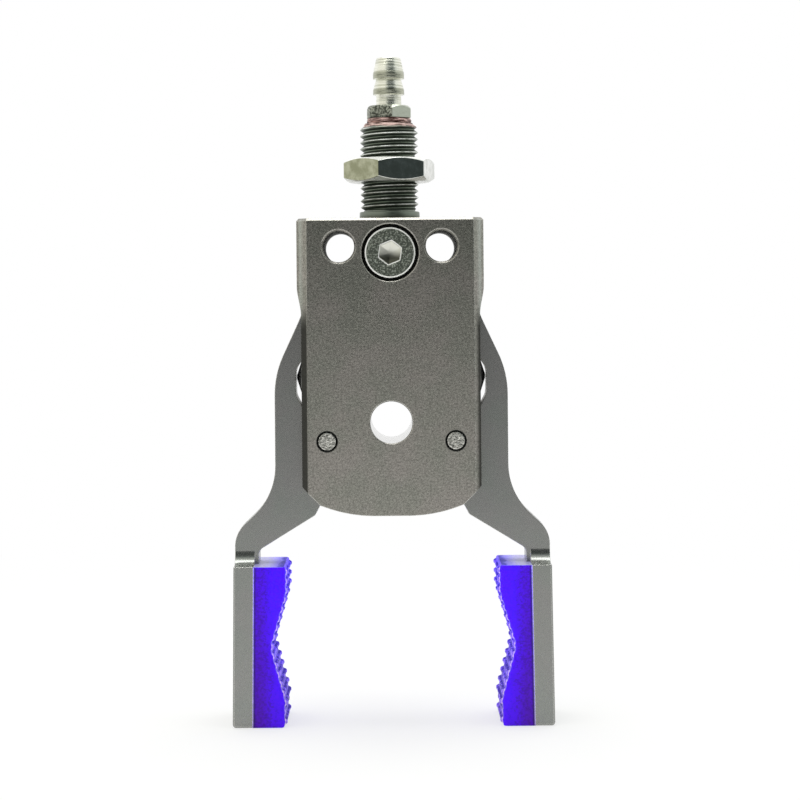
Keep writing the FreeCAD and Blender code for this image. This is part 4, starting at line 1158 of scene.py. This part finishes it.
# %% Piston, bush, wire and ring finishes
def dark_piston(s):
    """Sockets of the pistons: dark with fine turning rings about the X axis."""
    marks = blotches(s, (0.12, 8.0, 8.0), detail=1.0)
    cloud = blotches(s, 1.0)
    return {
        "Base Color": tint(rise(cloud, 0.3, 0.7), (0.13, 0.13, 0.13), (0.30, 0.30, 0.29)),
        "Roughness": 0.30 + 0.15 * marks,
        "Normal": relief(marks, 0.01, 0.6),
    }


def sintered_bronze(s):
    """Sockets of the bushes: porous bronze, darker where it holds oil."""
    pores = blotches(s, 0.2, detail=3.0)
    return {
        "Base Color": tint(rise(pores, 0.3, 0.6), (0.24, 0.14, 0.06), (0.66, 0.46, 0.24)),
        "Roughness": 0.5 - 0.15 * pores,
        "Normal": relief(pores, 0.02, 0.8),
    }


def drawn_wire(s):
    """Sockets of the springs: bright wire with slight tarnish."""
    tarnish = blotches(s, 0.7, detail=3.0)
    return {
        "Base Color": tint(rise(tarnish, 0.3, 0.7), (0.36, 0.35, 0.33), (0.66, 0.65, 0.63)),
        "Roughness": 0.24 + 0.2 * tarnish,
    }


def ring_rubber(s):
    """Sockets of the sealing rings: black, faintly dusty."""
    dust = blotches(s, 0.5, detail=3.0)
    return {
        "Base Color": tint(rise(dust, 0.4, 0.8), (0.018, 0.018, 0.018), (0.06, 0.06, 0.06)),
        "Roughness": 0.45 + 0.25 * dust,
        "Normal": relief(dust, 0.02, 0.5),
    }


dress(["right_piston", "left_piston"], "dark_piston", dark_piston, {"Metallic": 0.9})
dress(["right_pivot_bush", "left_pivot_bush"], "sintered_bronze", sintered_bronze, {"Metallic": 1.0})
dress(["right_spring", "left_spring"], "drawn_wire", drawn_wire, {"Metallic": 1.0})
dress(["stem_ring", "right_piston_ring", "left_piston_ring"], "ring_rubber", ring_rubber)

# %% [markdown]
# ## Floor
#
# The gripper stands on its jaws on a long white board, and past its sides the studio is darker. What
# camera, mirrors and glass see of the board turns to pure white with the distance, so that board
# and sky meet without a line, while the soft shadow under the jaws stays.

# %% Floor board
FLOOR_GAP = 0.05
FLOOR_HALF_WIDTH = 300.0
FLOOR_HALF_LENGTH = 3000.0


def make_floor():
    """Board: a grid whose places along X and Y run evenly between its sides, at one height."""
    across = np.linspace(-FLOOR_HALF_WIDTH, FLOOR_HALF_WIDTH, 7)
    along = np.linspace(-FLOOR_HALF_LENGTH, FLOOR_HALF_LENGTH, 61)
    y, x = np.meshgrid(along, across, indexing="ij")
    points = np.stack((x, y, np.full(x.shape, JAW_FOOT - FLOOR_GAP)), axis=-1)
    faces = grid_faces(len(along), len(across), wrap_columns=False)
    floor = add_object("floor", make_mesh("floor", points, faces))
    return floor


white_paper, s = new_finish("white_paper")
rays = s.node("ShaderNodeLightPath", out="Is Camera Ray")
seen = rays | rays.other("Is Glossy Ray") | rays.other("Is Transmission Ray")
distance = s.node("ShaderNodeVectorMath", {"operation": "LENGTH"}, {0: s.place}, out="Value")
even_white = 0.62 + 0.38 * rise(distance, 70, 270)
paper = s.node("ShaderNodeBsdfDiffuse", None, {"Color": (0.86, 0.86, 0.855, 1)})
glow = s.node("ShaderNodeEmission", None, {"Color": (1, 1, 1, 1), "Strength": 1.0})
surface = s.node("ShaderNodeMixShader", None, {0: seen * even_white, 1: paper, 2: glow})
s.node("ShaderNodeOutputMaterial", None, {"Surface": surface}, out=None)
make_floor().data.materials.append(white_paper)
print("floor finish nodes:", len(white_paper.node_tree.nodes))

# %% [markdown]
# ## A white tent with a dark camera
#
# Bright metal looks like what it mirrors. The photograph was taken in a white tent: nearly all
# around is white, with a dark place in front, a little to the right, where the camera stands. That
# dark place draws the dark bands on the barbs, the nut and the screw. So the sky's brightness
# depends on its direction: white behind and above, pale grey at the sides, dark low down. What the
# camera itself sees of it is plain white.

# %% Sky
CARD_AZIMUTH = 19.0
CARD_HALF_WIDTH = 36.0
CARD_LEVEL = 0.06
SIDE_LEVEL = 0.85
BACK_LEVEL = 1.0
TOP_LEVEL = 1.0
BELOW_LEVEL = 0.12


def blend(low, high, mask):
    """The number low where the mask is 0 and high where it is 1."""
    return low + (high - low) * mask


world = bpy.data.worlds.new("white_tent")
s = Shader(world)
x = s.node("ShaderNodeSeparateXYZ", None, {0: s.node("ShaderNodeTexCoord", out="Generated")}, out="X")
y, z = x.other("Y"), x.other("Z")
level = (x * x + y * y + 1e-6) ** 0.5
turn = math.radians(CARD_AZIMUTH)
toward = (x * math.sin(turn) - y * math.cos(turn)) / level
near = math.cos(math.radians(CARD_HALF_WIDTH + 5))
full = math.cos(math.radians(CARD_HALF_WIDTH - 5))
card = rise(toward, near, full) * (1 - rise(z, 0.62, 0.88))
behind = rise(y, -0.1, 0.5)
around = blend(SIDE_LEVEL, BACK_LEVEL, behind)
tent = blend(around, TOP_LEVEL, rise(z, 0.15, 0.75))
beside = (1 - rise(z, -0.10, 0.02)) * (1 - behind)
brightness = blend(blend(tent, BELOW_LEVEL, beside), CARD_LEVEL, card)
rays = s.node("ShaderNodeLightPath", out="Is Camera Ray")
background = rays | (rays.other("Is Glossy Ray") | rays.other("Is Transmission Ray")) * behind
brightness = blend(brightness, 1, background)
side_tint = tint(rise(x, -0.5, 0.5), (1.0, 0.995, 0.93), (0.97, 1.0, 0.99))
side_tint = tint(card, side_tint, (0.80, 1.0, 0.98))
colour = tint(background, side_tint, (1.0, 1.0, 1.0))
glow = s.node("ShaderNodeBackground", None, {"Color": colour, "Strength": brightness})
s.node("ShaderNodeOutputWorld", None, {"Surface": glow}, out=None)
bpy.context.scene.world = world
print("sky nodes:", len(world.node_tree.nodes))

# %% [markdown]
# ## Lamp
#
# The tent already lights everything softly. One large lamp gives it direction. It hangs above and a
# little behind the gripper, and lays the bright band on ledges and bevels.

# %% Soft lamp
LAMP_PLACE = Vector((0, 30, 420)) * MM
LAMP_TARGET = Vector((0, 0, -40)) * MM
LAMP_SIZE = 300
LAMP_POWER = 1.2

light = bpy.data.lights.new("overhead", "AREA")
light.shape = "SQUARE"
light.size = LAMP_SIZE * MM
light.energy = LAMP_POWER
lamp = add_object("overhead", light)
lamp.location = LAMP_PLACE
lamp.rotation_euler = (LAMP_PLACE - LAMP_TARGET).to_track_quat("Z", "Y").to_euler()
print(f"overhead: {LAMP_POWER} W")

# %% [markdown]
# ## Camera
#
# The photograph looks straight at the front face from about 35 cm, with a long lens, level with a
# point a little over a quarter down the body. The object leans by half a degree in it, so the camera
# rolls by as much. The picture's middle lies below the lens axis, which a small shift gives.

# %% Camera
LENS = 92.8
SENSOR = 36.0
CAMERA_PLACE = (0.1, -351.0, BODY_TOP - 13.68)
ROLL = 0.49
AXIS_PIXEL = (391.0, 300.0)
FRAME_PIXELS = 800.0

camera_data = bpy.data.cameras.new("camera")
camera_data.lens = LENS
camera_data.sensor_width = SENSOR
camera_data.shift_x = (FRAME_PIXELS / 2 - AXIS_PIXEL[0]) / FRAME_PIXELS
camera_data.shift_y = -(FRAME_PIXELS / 2 - AXIS_PIXEL[1]) / FRAME_PIXELS
camera = add_object("camera", camera_data)
camera.location = Vector(CAMERA_PLACE) * MM
camera.rotation_euler = (math.radians(90), math.radians(ROLL), 0)
bpy.context.scene.camera = camera
bpy.context.scene.view_settings.view_transform = "Standard"
print(f"camera at {CAMERA_PLACE} mm, lens {LENS} mm")
